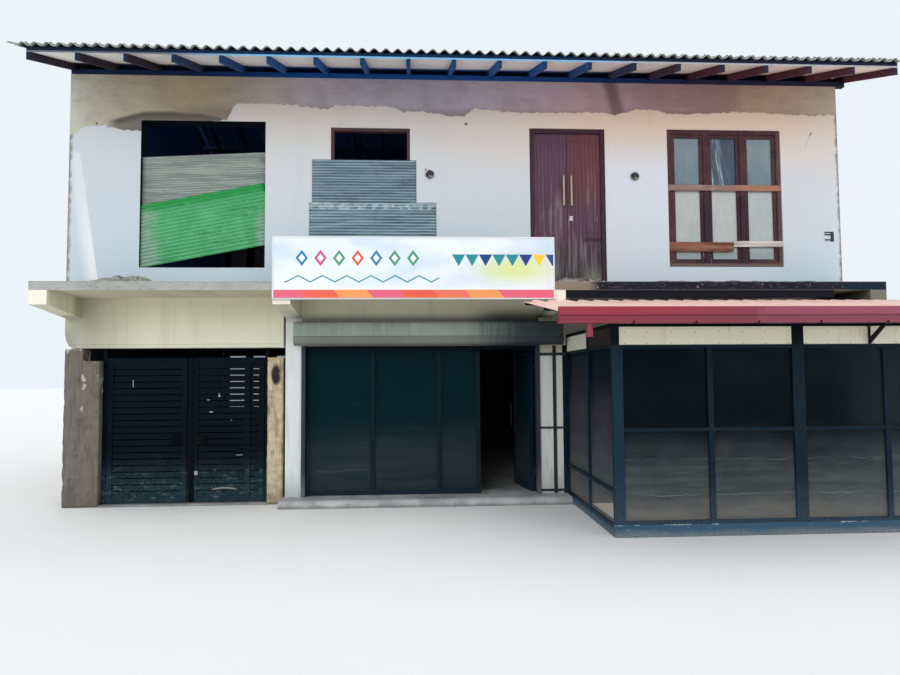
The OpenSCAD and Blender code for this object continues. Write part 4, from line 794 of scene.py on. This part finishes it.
door_foot, door_head, half_joint = 2.905, 5.149, 0.0005
bm = bmesh.new()
for left in (left_leaf_x, right_leaf_x):
    block(bm, (left, 0.066, door_foot), (left + leaf_width, 0.088, door_head))
    for k in range(9):
        first, last = left + board_width * k + half_joint, left + board_width * (k + 1) - half_joint
        block(bm, (first, 0.053, 3.02), (last, 0.067, 5.06), 0.004)
    block(bm, (left, 0.0505, 5.058), (left + leaf_width, 0.067, door_head), 0.003)
    block(bm, (left, 0.0505, door_foot), (left + leaf_width, 0.067, 3.022), 0.003)
block(bm, (1.70, 0.0502, 3.655), (1.915, 0.056, 3.68), 0.002)
leaves = make("boarded_door_leaves", bm, door_paint, smooth=False)
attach(leaves, "building")
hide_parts("upper_door_leaves")

pull_brass, at, x, y, z = start("worn_brass")
drift = cloud(at, 30, 4, 0.6)
plate = rise(z, 4.06, 4.04)
colour = mix(drift, (138, 124, 96), (190, 174, 144))
colour = mix(plate, colour, mix(drift, (150, 150, 150), (206, 206, 204)))
close(colour, 0.40 + drift * 0.2, metallic=0.55)
dress(pull_brass, "upper_door_pulls")

# Window and door frames: planed timber with moulded sashes, wedged into the openings. The brown paint is
# worn to grey wood on the outer edges and the sill.
frame_timber, at, x, y, z = start("worn_brown_joinery")
grain, drift = cloud(at, 34, 5, 0.65, (1, 1, 0.07)), cloud(at, 5, 5, 0.6)
deep = rise(abs(x - 3.727), 0.46, 0.42) * rise(z + (drift - 0.5) * 0.4, 4.5, 4.2)
bare_wood = rise(cloud(at, 20, 5, 0.7, (1, 1, 0.14)), 0.63, 0.70) * rise(x, 2.5, 2.8) * rise(z, 4.4, 4.2)
sill = rise(z + (drift - 0.5) * 0.06, 3.305, 3.27) * rise(x, 2.5, 2.8)
outer = rise(x + (drift - 0.5) * 0.05, 4.50, 4.53) + rise(x, 2.92, 2.90) * rise(x, 2.0, 2.8)
door_side = rise(x, 0.85, 0.88) * rise(x, 2.05, 2.02)
colour = coats(
    mix(grain, (42, 26, 33), (80, 48, 52)),
    (rise(drift, 0.45, 0.65) * 0.3, (112, 70, 64)),
    (deep * 0.65, (32, 20, 32)),
    (bare_wood * 0.6, (184, 176, 178)),
    (capped(sill + outer * rise(z, 2.9, 3.2) * 0.5) * 0.6, (122, 108, 106)),
    (door_side * 0.75, mix(grain, (38, 20, 34), (64, 38, 50))),
    (rise(x, 0.5, 0.2) * 0.4, (74, 58, 60)))
close(colour, 0.7, grain, 0.002, gloss=0.3)
dress(frame_timber, "window_frames", "upper_door_frame")

# Window panes: old sheet glass. In the front window the lower part is whitened from inside, the middle
# upper pane has a crumpled plastic film behind it, with painted shade of the dark room beside the film,
# and all of it is dusty. The panes at the back are dark.
pane, at, x, y, z = start("dusty_window_glass")
drift, wipe = cloud(at, 3, 4, 0.6), cloud(at, 9, 5, 0.65, (1, 1, 0.4))
fan = (x - 3.62) / (1.5 + (4.95 - z) * 2.2) + (z - 4.4) * 0.03
folds = cloud(at.node("CombineXYZ", {0: fan * 42, 1: z * 0.9}), 1.0, 4, 0.65)
film = mix(rise(folds, 0.50, 0.62), (26, 54, 74), (176, 196, 210))
middle = rise(x, 3.52, 3.54) * rise(x, 3.94, 3.92)
upper = coats(
    mix(wipe, (74, 98, 110), (118, 140, 150)),
    (rise(z, 4.5, 4.95) * 0.3, (150, 158, 162)),
    (middle * rise(folds + (x - 3.72) * -0.9, 0.3, 0.62), film),
    # Painted shade: beside the film the pane is dark teal, the dark room behind it.
    (middle * rise(x + (z - 4.7) * 0.12 + (wipe - 0.5) * 0.06, 3.68, 3.74) * 0.9, (12, 48, 72)))
lower = coats(
    mix(wipe, (160, 168, 166), (194, 198, 194)),
    (rise(x, 3.95, 4.1) * 0.4, (160, 178, 182)),
    (rise(z + (drift - 0.5) * 0.1, 3.52, 3.42) * 0.55, (116, 134, 142)))
front = mix(rise(z, 4.36, 4.39), lower, upper)
back = mix(wipe, (30, 36, 40), (54, 60, 62))
colour = mix(rise(y, 1.0, 2.0), front, back)
clear_back = rise(y, 1.0, 2.0) * rise(x, -1.0, -2.0) * rise(z, 2.8, 2.6)
close(colour, 0.16 + wipe * 0.2, gloss=0.5, alpha=0.94 - clear_back * 0.5)
dress(pane, "window_glass")

# Planks over the triple window: three rough boards nailed across it, the upper one grey brown and orange
# to the right, the lower left one stained red and the lower right one weathered grey, with rusty nails.
plank_wood, at, x, y, z = start("rough_planks")
grain, knot = cloud(at, 22, 6, 0.65, (0.06, 1, 1)), cloud(at, 6, 3)
red_board = mix(rise(grain, 0.35, 0.65), (92, 54, 42), (158, 108, 88))
grey_board = mix(rise(grain, 0.35, 0.65), (150, 140, 134), (222, 214, 208))
top_board = coats(
    mix(grain, (112, 88, 78), (160, 134, 122)),
    (rise(knot, 0.52, 0.62) * 0.5, (160, 148, 132)),
    (rise(x + (knot - 0.5) * 0.4, 3.7, 4.1) * 0.5, (176, 112, 80)))
colour = mix(rise(x, 3.832, 3.836), red_board, grey_board)
colour = mix(rise(z, 3.9, 4.1), colour, top_board)
close(colour, 0.85, grain, 0.003, gloss=0.2)
rust, at, x, y, z = start("rusty_nails")
close(mix(cloud(at, 90, 4), (66, 40, 28), (112, 66, 42)), 0.8, metallic=0.4)
plank_front, plank_back, nail_y = 0.001, 0.019, 0.0012
bm = bmesh.new()
for left, foot, right, head in ((2.893, 4.334, 4.561, 4.419), (2.893, 3.456, 3.831, 3.592),
                                (3.836, 3.524, 4.561, 3.609)):
    part = bmesh.new()
    block(part, (left, plank_front, foot), (right, plank_back, head))
    long_edges = [e for e in part.edges if e.calc_length() > 0.3]
    bmesh.ops.subdivide_edges(part, edges=long_edges, cuts=24, use_grid_fill=True)
    for v in part.verts:
        worn = 0.10 * abs(noise.noise(Vector((v.co.x * 9, left, v.co.z * 4))))
        v.co.z += ((foot + head) / 2 - v.co.z) * worn
    corners = [e for e in part.edges if e.calc_face_angle(0) > 1.0]
    bmesh.ops.bevel(part, geom=corners, offset=0.002, segments=1, affect="EDGES", profile=0.5, material=-1)
    add_part(bm, part)
to_front = Matrix.Rotation(math.radians(90), 4, "X")
for u, v in ((2.925, 4.36), (2.93, 4.395), (3.47, 4.377), (3.98, 4.372), (4.53, 4.36), (4.53, 4.40),
             (2.92, 3.49), (2.925, 3.56), (3.48, 3.53), (3.80, 3.54), (3.87, 3.57), (4.10, 3.565),
             (4.53, 3.56)):
    before = len(bm.faces)
    round_head(bm, (u, nail_y, v), to_front, foot=0.006, top=0.006, tall=0.002)
    bm.faces.ensure_lookup_table()
    for f in bm.faces[before:]:
        f.material_index = 1
planks = make("nailed_planks", bm, plank_wood, rust, smooth=False)
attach(planks, "building")
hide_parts("window_planks")

# Wall fittings: two round bakelite boxes with their covers gone and dark terminals showing, the black bar
# beside the right column with the straps that tie it to the annex, and the bracket with three prongs.
fitting_paint, at, x, y, z = start("black_fittings")
drift = cloud(at, 24, 4, 0.6)
box_rim = 0
for u in (-0.504, 2.412):
    from_middle = reach(x - u, z - 4.53)
    ring = rise(from_middle + (drift - 0.5) * 0.06, 0.046, 0.058) * rise(from_middle, 0.08, 0.07)
    box_rim = box_rim + ring * 0.8
    hook = reach(x - u - 0.012, z - 4.512)
    box_rim = box_rim + rise(abs(hook - 0.020), 0.009, 0.005) * rise(z, 4.516, 4.508)
colour = mix(drift, (20, 22, 24), (48, 50, 52))
colour = mix(box_rim, colour, mix(drift, (96, 104, 100), (190, 194, 186)))
close(colour, 0.6, drift, 0.002, gloss=0.35)
dress(fitting_paint, "wall_fittings")

# Gate posts and leaves: welded square tube and flat slats under navy black paint, hung on turned hinges.
# Dust has dulled the lower slats, and the paint is chipped and scraped where the leaves are pushed.
gate_paint, at, x, y, z = start("navy_gate_paint")
drift, fine = cloud(at, 4.0, 5, 0.65), cloud(at, 60, 4)
dust = rise(z + (drift - 0.5) * 0.5, 0.75, 0.15)
blot = cloud(at, 9, 5, 0.7, (0.6, 1, 1.4))
bow = reach(x + 3.318, z - 0.03, 0.35)
scrape = rise(abs(bow - 0.185), 0.016, 0.006) * rise(abs(x + 3.318), 0.19, 0.14) * rise(z, 0.10, 0.14)
colour = coats(
    mix(drift, (0, 7, 13), (3, 17, 26)),
    (dust * rise(fine, 0.3, 0.6) * 0.6, (54, 80, 90)),
    (rise(blot, 0.56, 0.66) * rise(z, 0.62, 0.25) * 0.6, (104, 110, 114)),
    (scrape * 0.8, (140, 138, 128)))
crumble = (fine - 0.5) * 0.012
for u, v, wide, tall in ((-4.553, 1.635, 0.006, 0.055), (-3.547, 1.406, 0.02, 0.006),
                         (-3.505, 1.243, 0.028, 0.008), (-3.40, 1.47, 0.014, 0.03),
                         (-3.235, 1.131, 0.014, 0.005), (-3.70, 0.42, 0.03, 0.03),
                         (-3.12, 0.655, 0.05, 0.004)):
    chip = rise(abs(x - u) + crumble, wide, wide * 0.7) * rise(abs(z - v) + crumble, tall, tall * 0.7)
    colour = mix(chip * 0.8, colour, (176, 180, 178))
locks = rise(abs(x + 3.950), 0.066, 0.063) + rise(abs(x + 3.585), 0.066, 0.063)
meeting = rise(abs(x + 3.758), 0.044, 0.040)
behind = 1 - rise(y, 0.118, 0.112)
colour = coats(
    colour,
    (locks * rise(abs(z - 0.879), 0.075, 0.072) * rise(y, 0.099, 0.096), (0, 1, 2)),
    (meeting * 0.85, (0, 2, 5)),
    (behind * 0.5, (10, 14, 18)))
close(colour, 0.5 + dust * 0.35, fine * 0.6 + drift * 0.4, 0.0012, gloss=0.05)
dress(gate_paint, "gate_posts", "gate_leaf_left", "gate_leaf_right")

# Shopfront, shop door and annex frame: folded steel tube under dark navy paint, welded and filed flush,
# with thin pale scratches and dust lying on the lower rails.
frame_paint, at, x, y, z = start("dark_navy_frames")
drift, fine = cloud(at, 3.2, 5, 0.6), cloud(at, 70, 4)
dust = rise(z + (drift - 0.5) * 0.5, 0.7, 0.1)
hair = cloud(at, 26, 5, 0.7, (1, 1, 0.12))
post = rise(y, -2.0, -2.1) * rise(x, 1.51, 1.49)
colour = coats(
    mix(drift, (5, 20, 30), (17, 40, 54)),
    (dust * rise(fine, 0.3, 0.62) * 0.5, (78, 96, 112)),
    (rise(hair, 0.68, 0.74) * 0.5, (132, 148, 158)),
    (post * 0.25, (44, 70, 92)),
    (rise(y, -0.5, -0.4) * 0.7, mix(drift, (3, 20, 27), (10, 34, 42))),
    (rise(z, 2.03, 2.05) * 0.8, (2, 9, 14)))
close(colour, 0.42 + dust * 0.3, fine * 0.5 + drift * 0.5, 0.001, gloss=0.08)
dress(frame_paint, "shopfront_frame", "shop_door_frame", "annex_frame")

# Shop and annex glass: clear float glass bedded in putty. The rooms behind it are dark, so it reads as
# deep teal, hazed on the lower panes by road dust and a painted reflection of the street, and wiped in
# arcs. Low on the annex panes a painted reflection of the ground pales it. The near side pane has a pale
# corner low down.
shop_glass, at, x, y, z = start("dark_shop_glass")
drift, wipe = cloud(at, 1.4, 4, 0.6), cloud(at, 6, 5, 0.7, (0.5, 0.5, 1.6))
annex = rise(x, 1.15, 1.25)
side = annex * rise(x, 1.45, 1.40)
# Road dust, together with a painted reflection of the street, on the lower panes.
dust_and_reflection = rise(z + (drift - 0.5) * 0.7, 1.20, 0.50) * (0.35 + annex * 0.65)
bar = cloud(at, 3, 5, 0.6, (0.3, 0.3, 3.0))
hairs = rise(tooth(z / 0.37 + drift * 0.6), 0.012, 0.004) * rise(drift, 0.45, 0.6)
near_corner = side * rise(z, 0.163, 0.173) * rise(z + (y + 1.16) * 0.188, 0.173, 0.163)
colour = coats(
    mix(annex, mix(drift, (3, 27, 35), (10, 42, 52)), mix(drift, (1, 12, 20), (8, 24, 34))),
    (annex * rise(x + (drift - 0.5) * 0.4, 3.7, 4.5) * 0.5, (44, 54, 58)),
    (side * rise(z + (drift - 0.5) * 0.5, 1.75, 1.15) * 0.75, mix(wipe, (44, 50, 62), (84, 72, 88))),
    (dust_and_reflection * (0.5 + rise(bar, 0.35, 0.65) * 0.3), mix(wipe, (70, 82, 84), (96, 102, 98))),
    # Painted reflection of the ground low on the annex panes.
    (annex * rise(z + (drift - 0.5) * 0.3, 0.50, 0.22) * 0.5, mix(wipe, (110, 108, 108), (140, 132, 126))),
    (hairs * dust_and_reflection * 0.4, (170, 176, 174)),
    (rise(wipe, 0.62, 0.74) * 0.15, (104, 118, 124)),
    (near_corner * 0.75, (196, 190, 176)))
close(colour, 0.06 + dust_and_reflection * 0.12 + side * 0.4, gloss=0.04, alpha=0.80 + dust_and_reflection * 0.1 + side * 0.2)
dress(shop_glass, "shopfront_glass", "shop_door_glass", "annex_glass")

# Roller shutter: a folded sheet steel hood, grey green and streaked, with painted shade darkening its
# right end under the annex roof, and a dull rolled lip under it. Channel guides under the shopfront's navy
# paint run down both jambs to the step.
hood_paint, at, x, y, z = start("grey_green_shutter_hood")
drift, fine = cloud(at, 2.6, 5, 0.6), cloud(at, 60, 4)
band = toss((x + (drift - 0.5) * 0.04) / 0.29)
streak = cloud(at, 12, 4, 0.6, (1, 1, 0.08))
lip = rise(z, 2.262, 2.240)
seam = rise(abs(z - 2.251), 0.005, 0.002) + rise(abs(z - 2.416), 0.004, 0.002) * 0.6
colour = coats(
    mix(drift, (118, 132, 123), (152, 164, 153)),
    (band * 0.35, (96, 112, 112)),
    (rise(streak, 0.52, 0.7) * 0.45, (82, 94, 94)),
    (rise(streak, 0.44, 0.32) * 0.22, (166, 178, 172)),
    (rise(z, 2.42, 2.46) * 0.4, (84, 96, 96)),
    (lip, mix(drift, (92, 98, 92), (126, 130, 122))),
    # Painted shade under the annex roof darkens the right end.
    (rise(x + (streak - 0.5) * 0.5, -0.1, 0.75) * 0.9, (24, 36, 46)),
    (rise(z, 2.128, 2.120), mix(fine, (12, 28, 40), (30, 50, 64))),
    (rise(z + (drift - 0.5) * 0.4, 0.5, 0.1) * 0.6, (112, 114, 112)),
    (seam * 0.7, (66, 74, 74)))
close(colour, 0.55, fine * 0.4 + drift * 0.7 - seam, 0.003, metallic=0.1, gloss=0.4)
dress(hood_paint, "roller_shutter")

# Sign board: a shallow tray of painted sheet on a timber back, fixed to the canopy edge. Its face has a
# plain pattern of soft clouds, a row of lozenges, a zigzag line, a row of pennants and a foot band of
# slanted blocks.
sign_face, at, x, y, z = start("painted_sign_face")
drift, soft_cloud = cloud(at, 1.2, 4, 0.6), cloud(at, 0.9, 3, 0.5, (1, 1, 2.2))
sign_left, sign_foot, cell, flag = -2.465, 2.690, 0.23, 0.17
u, v = x - sign_left, z - sign_foot
sun_spot = reach(u - 3.0, v - 0.36, 0.30, 2.4)
zig = tooth(u / 0.30) * 0.16
line = rise(abs(v - 0.20 - zig), 0.011, 0.007) * rise(u, 0.12, 0.14) * rise(u, 2.06, 2.04)
paints = ramp(toss(u / cell, 3.7), (0.0, (226, 84, 66)), (0.2, (40, 120, 168)), (0.4, (240, 160, 60)),
              (0.6, (60, 150, 110)), (0.8, (196, 70, 120)), steps="CONSTANT")
shape = tooth(u / cell) * cell + abs(v - 0.50) * 0.75
lozenge = rise(shape, 0.080, 0.074) * rise(u, 0.22, 0.225) * rise(u, 1.845, 1.84)
heart = rise(shape, 0.044, 0.038) * rise(u, 0.22, 0.225) * rise(u, 1.845, 1.84)
flags = ramp(toss(u / flag, 0.4), (0.0, (22, 56, 126)), (0.35, (206, 52, 130)), (0.6, (242, 204, 62)),
             (0.8, (30, 136, 148)), steps="CONSTANT")
pennant = rise(v - tooth(u / flag) * 0.30, 0.398, 0.402) * rise(v, 0.552, 0.548)
block_tone = toss((u + v * 0.8) / 0.41)
foot_band = coats(
    mix(block_tone, (232, 90, 70), (238, 128, 96)),
    (rise(block_tone, 0.55, 0.56), (226, 96, 120)),
    (rise(block_tone, 0.80, 0.81), (240, 152, 84)))
rim = rise(y, -0.9245, -0.9275) + rise(y, -0.922, -0.918)
runs = rise(cloud(at, 5, 4, 0.65, (1, 1, 0.1)), 0.58, 0.74)
grime = rise(v + (drift - 0.5) * 0.06, 0.02, -0.02) + runs * 0.25
colour = coats(
    mix(rise(soft_cloud, 0.36, 0.64), (204, 220, 236), (232, 238, 244)),
    (rise(sun_spot + (drift - 0.5) * 0.12, 0.42, 0.05) * 0.8, (214, 224, 120)),
    (line, (36, 132, 142)),
    (lozenge, paints),
    (heart, (240, 240, 236)),
    (pennant * rise(u, 2.209, 2.211) * rise(u, 3.571, 3.569), flags),
    (rise(v, 0.106, 0.100), foot_band),
    (rise(abs(v - 0.122), 0.007, 0.004), (244, 244, 240)),
    (capped(rim), mix(drift, (206, 212, 216), (230, 232, 232))),
    (capped(grime) * 0.5, (166, 166, 160)))
close(colour, 0.45, drift, 0.002, gloss=0.35)
dress(sign_face, "sign_board")

# Annex sill: blue painted steel plate on edge around the annex foot, splashed and scuffed by the street,
# with a pale tide of dust along the ground and bare chips along its top.
sill_paint, at, x, y, z = start("dusty_blue_sill")
drift, fine = cloud(at, 3.0, 5, 0.6), cloud(at, 55, 4, 0.6)
splash = rise(z + (drift - 0.5) * 0.09, 0.09, 0.0)
scuff = cloud(at, 18, 5, 0.7, (0.4, 1, 1.6))
chip = rise(z + (fine - 0.5) * 0.03, 0.120, 0.127) * rise(cloud(at, 4, 2), 0.52, 0.6)
colour = coats(
    mix(drift, (30, 64, 88), (50, 88, 111)),
    (splash * rise(fine, 0.25, 0.6) * 0.8, (126, 132, 130)),
    (rise(scuff, 0.62, 0.70) * 0.55, (148, 160, 168)),
    (chip * 0.8, (214, 218, 216)))
close(colour, 0.6 + splash * 0.25, fine * 0.5 + drift * 0.6, 0.002, gloss=0.35)
dress(sill_paint, "annex_base")

# Annex fascia: flat fibre boards painted pale cream, nailed along both edges, with a hair joint between
# them. The front board on the side is dark brown ply. The nails are small round heads that have started
# to rust.
fascia_paint, at, x, y, z = start("pale_cream_fascia")
drift, fine = cloud(at, 2.0, 4, 0.6), cloud(at, 60, 4)
streak = cloud(at, 14, 4, 0.65, (1, 1, 0.08))
colour = coats(
    mix(drift, (244, 244, 216), (253, 252, 230)),
    (rise(z, 2.195, 2.225) * 0.3, (206, 210, 182)),
    (rise(streak, 0.56, 0.72) * 0.3, (208, 204, 176)))
for u, low_end in ((2.666, 2.16), (4.139, 2.11), (5.06, 2.14)):
    hair = rise(abs(x - u + (fine - 0.5) * 0.004), 0.003, 0.001) * rise(z, low_end, low_end + 0.01)
    colour = mix(hair * rise(y, -2.0, -2.1) * 0.6, colour, (120, 116, 96))
side = rise(y, -2.146, -2.136)
ply = rise(y, -1.12, -1.16) * side
colour = coats(
    colour,
    (side * 0.6, (216, 216, 206)),
    (ply, mix(cloud(at, 20, 5, 0.6, (1, 0.12, 1)), (30, 24, 25), (56, 46, 44))))
close(colour, 0.7, fine * 0.3 + drift * 0.5, 0.002, gloss=0.3)
dress(fascia_paint, "annex_fascia")
nail_y, last_nail = -2.1972, 7
bm = bmesh.new()
for first, last in ((1.52, 3.34), (3.53, 5.31)):
    for k in range(last_nail + 1):
        u = first + (last - first) * k / last_nail + 0.006 * math.sin(k * 5.1)
        for v in (2.051, 2.180):
            spot_at = (u, nail_y, v + 0.003 * math.sin(k * 3.7))
            round_head(bm, spot_at, to_front, foot=0.005, top=0.0035, tall=0.0024)
fascia_nails = make("fascia_nails", bm, rust)
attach(fascia_nails, "building")

# Annex roof frame: black painted angle and tube, brown with rust in patches, with a ledger screwed to the
# canopy edge. The ledger is the blackest.
black_paint, at, x, y, z = start("black_painted_steel")
drift, fine = cloud(at, 5, 5, 0.65), cloud(at, 60, 4)
ledger = rise(z, 2.66, 2.68) * rise(y, -0.84, -0.86)
colour = coats(
    mix(drift, (16, 18, 22), (38, 40, 44)),
    (rise(fine * 0.4 + drift * 0.6, 0.56, 0.64) * 0.45, (84, 58, 44)),
    (ledger * 0.9, (8, 13, 24)))
close(colour, 0.62, fine, 0.0015, gloss=0.12)
dress(black_paint, "annex_roof_frame")

# Annex roof: ribbed coated steel sheets, red beneath, darkened there with painted shade, and bleached to
# pink coral on top, laid with one rib lap and screwed down through the ribs over each bar with washered
# screws.
coral_sheet, at, x, y, z = start("bleached_red_sheet")
drift, fine = cloud(at, 2.0, 4, 0.6), cloud(at, 50, 4)
run = cloud(at, 8, 4, 0.6, (1, 0.1, 1))
# Painted shade: the undersides are a darker red.
shaded_red_underside = rise(upward(at), 0.0, -0.2)
front_lip = rise(y, -2.933, -2.947)
colour = coats(
    mix(drift, (245, 202, 190), (251, 220, 210)),
    (rise(run, 0.52, 0.7) * 0.35, (222, 152, 142)),
    (shaded_red_underside, (128, 44, 50)),
    (front_lip * 0.5, (246, 196, 180)))
close(colour, 0.5, fine * 0.3 + drift * 0.5, 0.001, gloss=0.4)
dress(coral_sheet, "annex_roof_sheets")

# Annex gutter: folded steel in two steps, crimson paint faded unevenly, carried on thin black straps that
# are bent up over its lower step, with a stub of pipe at its left end.
gutter_paint, at, x, y, z = start("faded_crimson")
drift, fine = cloud(at, 1.8, 4, 0.6), cloud(at, 60, 4)
lower_step = rise(z, 2.300, 2.285)
sleeve = rise(abs(x - 2.608), 0.042, 0.038)
colour = coats(
    mix(drift, (116, 28, 46), (136, 44, 62)),
    (rise(x, 2.643, 2.649) * 0.45, (146, 76, 100)),
    (rise(x + (drift - 0.5) * 0.8, 2.64, 1.2) * 0.5, (160, 26, 48)),
    (lower_step * 0.5, (98, 34, 52)),
    # Painted shade in the crease under the upper step.
    (rise(abs(z - 2.292), 0.007, 0.002) * 0.6, (58, 10, 24)),
    # Painted highlight along the top edge.
    (rise(z, 2.364, 2.371) * 0.5, (206, 112, 128)),
    (sleeve * 0.4, mix(rise(tooth(x / 0.016), 0.2, 0.4), (96, 22, 44), (176, 90, 100))),
    (rise(cloud(at, 11, 4, 0.65, (1, 1, 0.15)), 0.58, 0.72) * 0.3, (120, 46, 60)))
close(colour, 0.42, fine * 0.3 + drift * 0.6, 0.0015, gloss=0.45)
dress(gutter_paint, "annex_gutter")
half_strap, strap_foot = 0.006, 2.2105
bm = bmesh.new()
for u in (1.36, 1.97, 2.585, 3.207, 3.876, 4.52, 5.16):
    block(bm, (u - half_strap, -3.0190, strap_foot), (u + half_strap, -3.0080, 2.236), 0.001)
    block(bm, (u - half_strap, -3.0100, strap_foot), (u + half_strap, -2.9000, 2.2144), 0.001)
straps = make("gutter_straps", bm, black_paint, smooth=False)
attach(straps, "building")
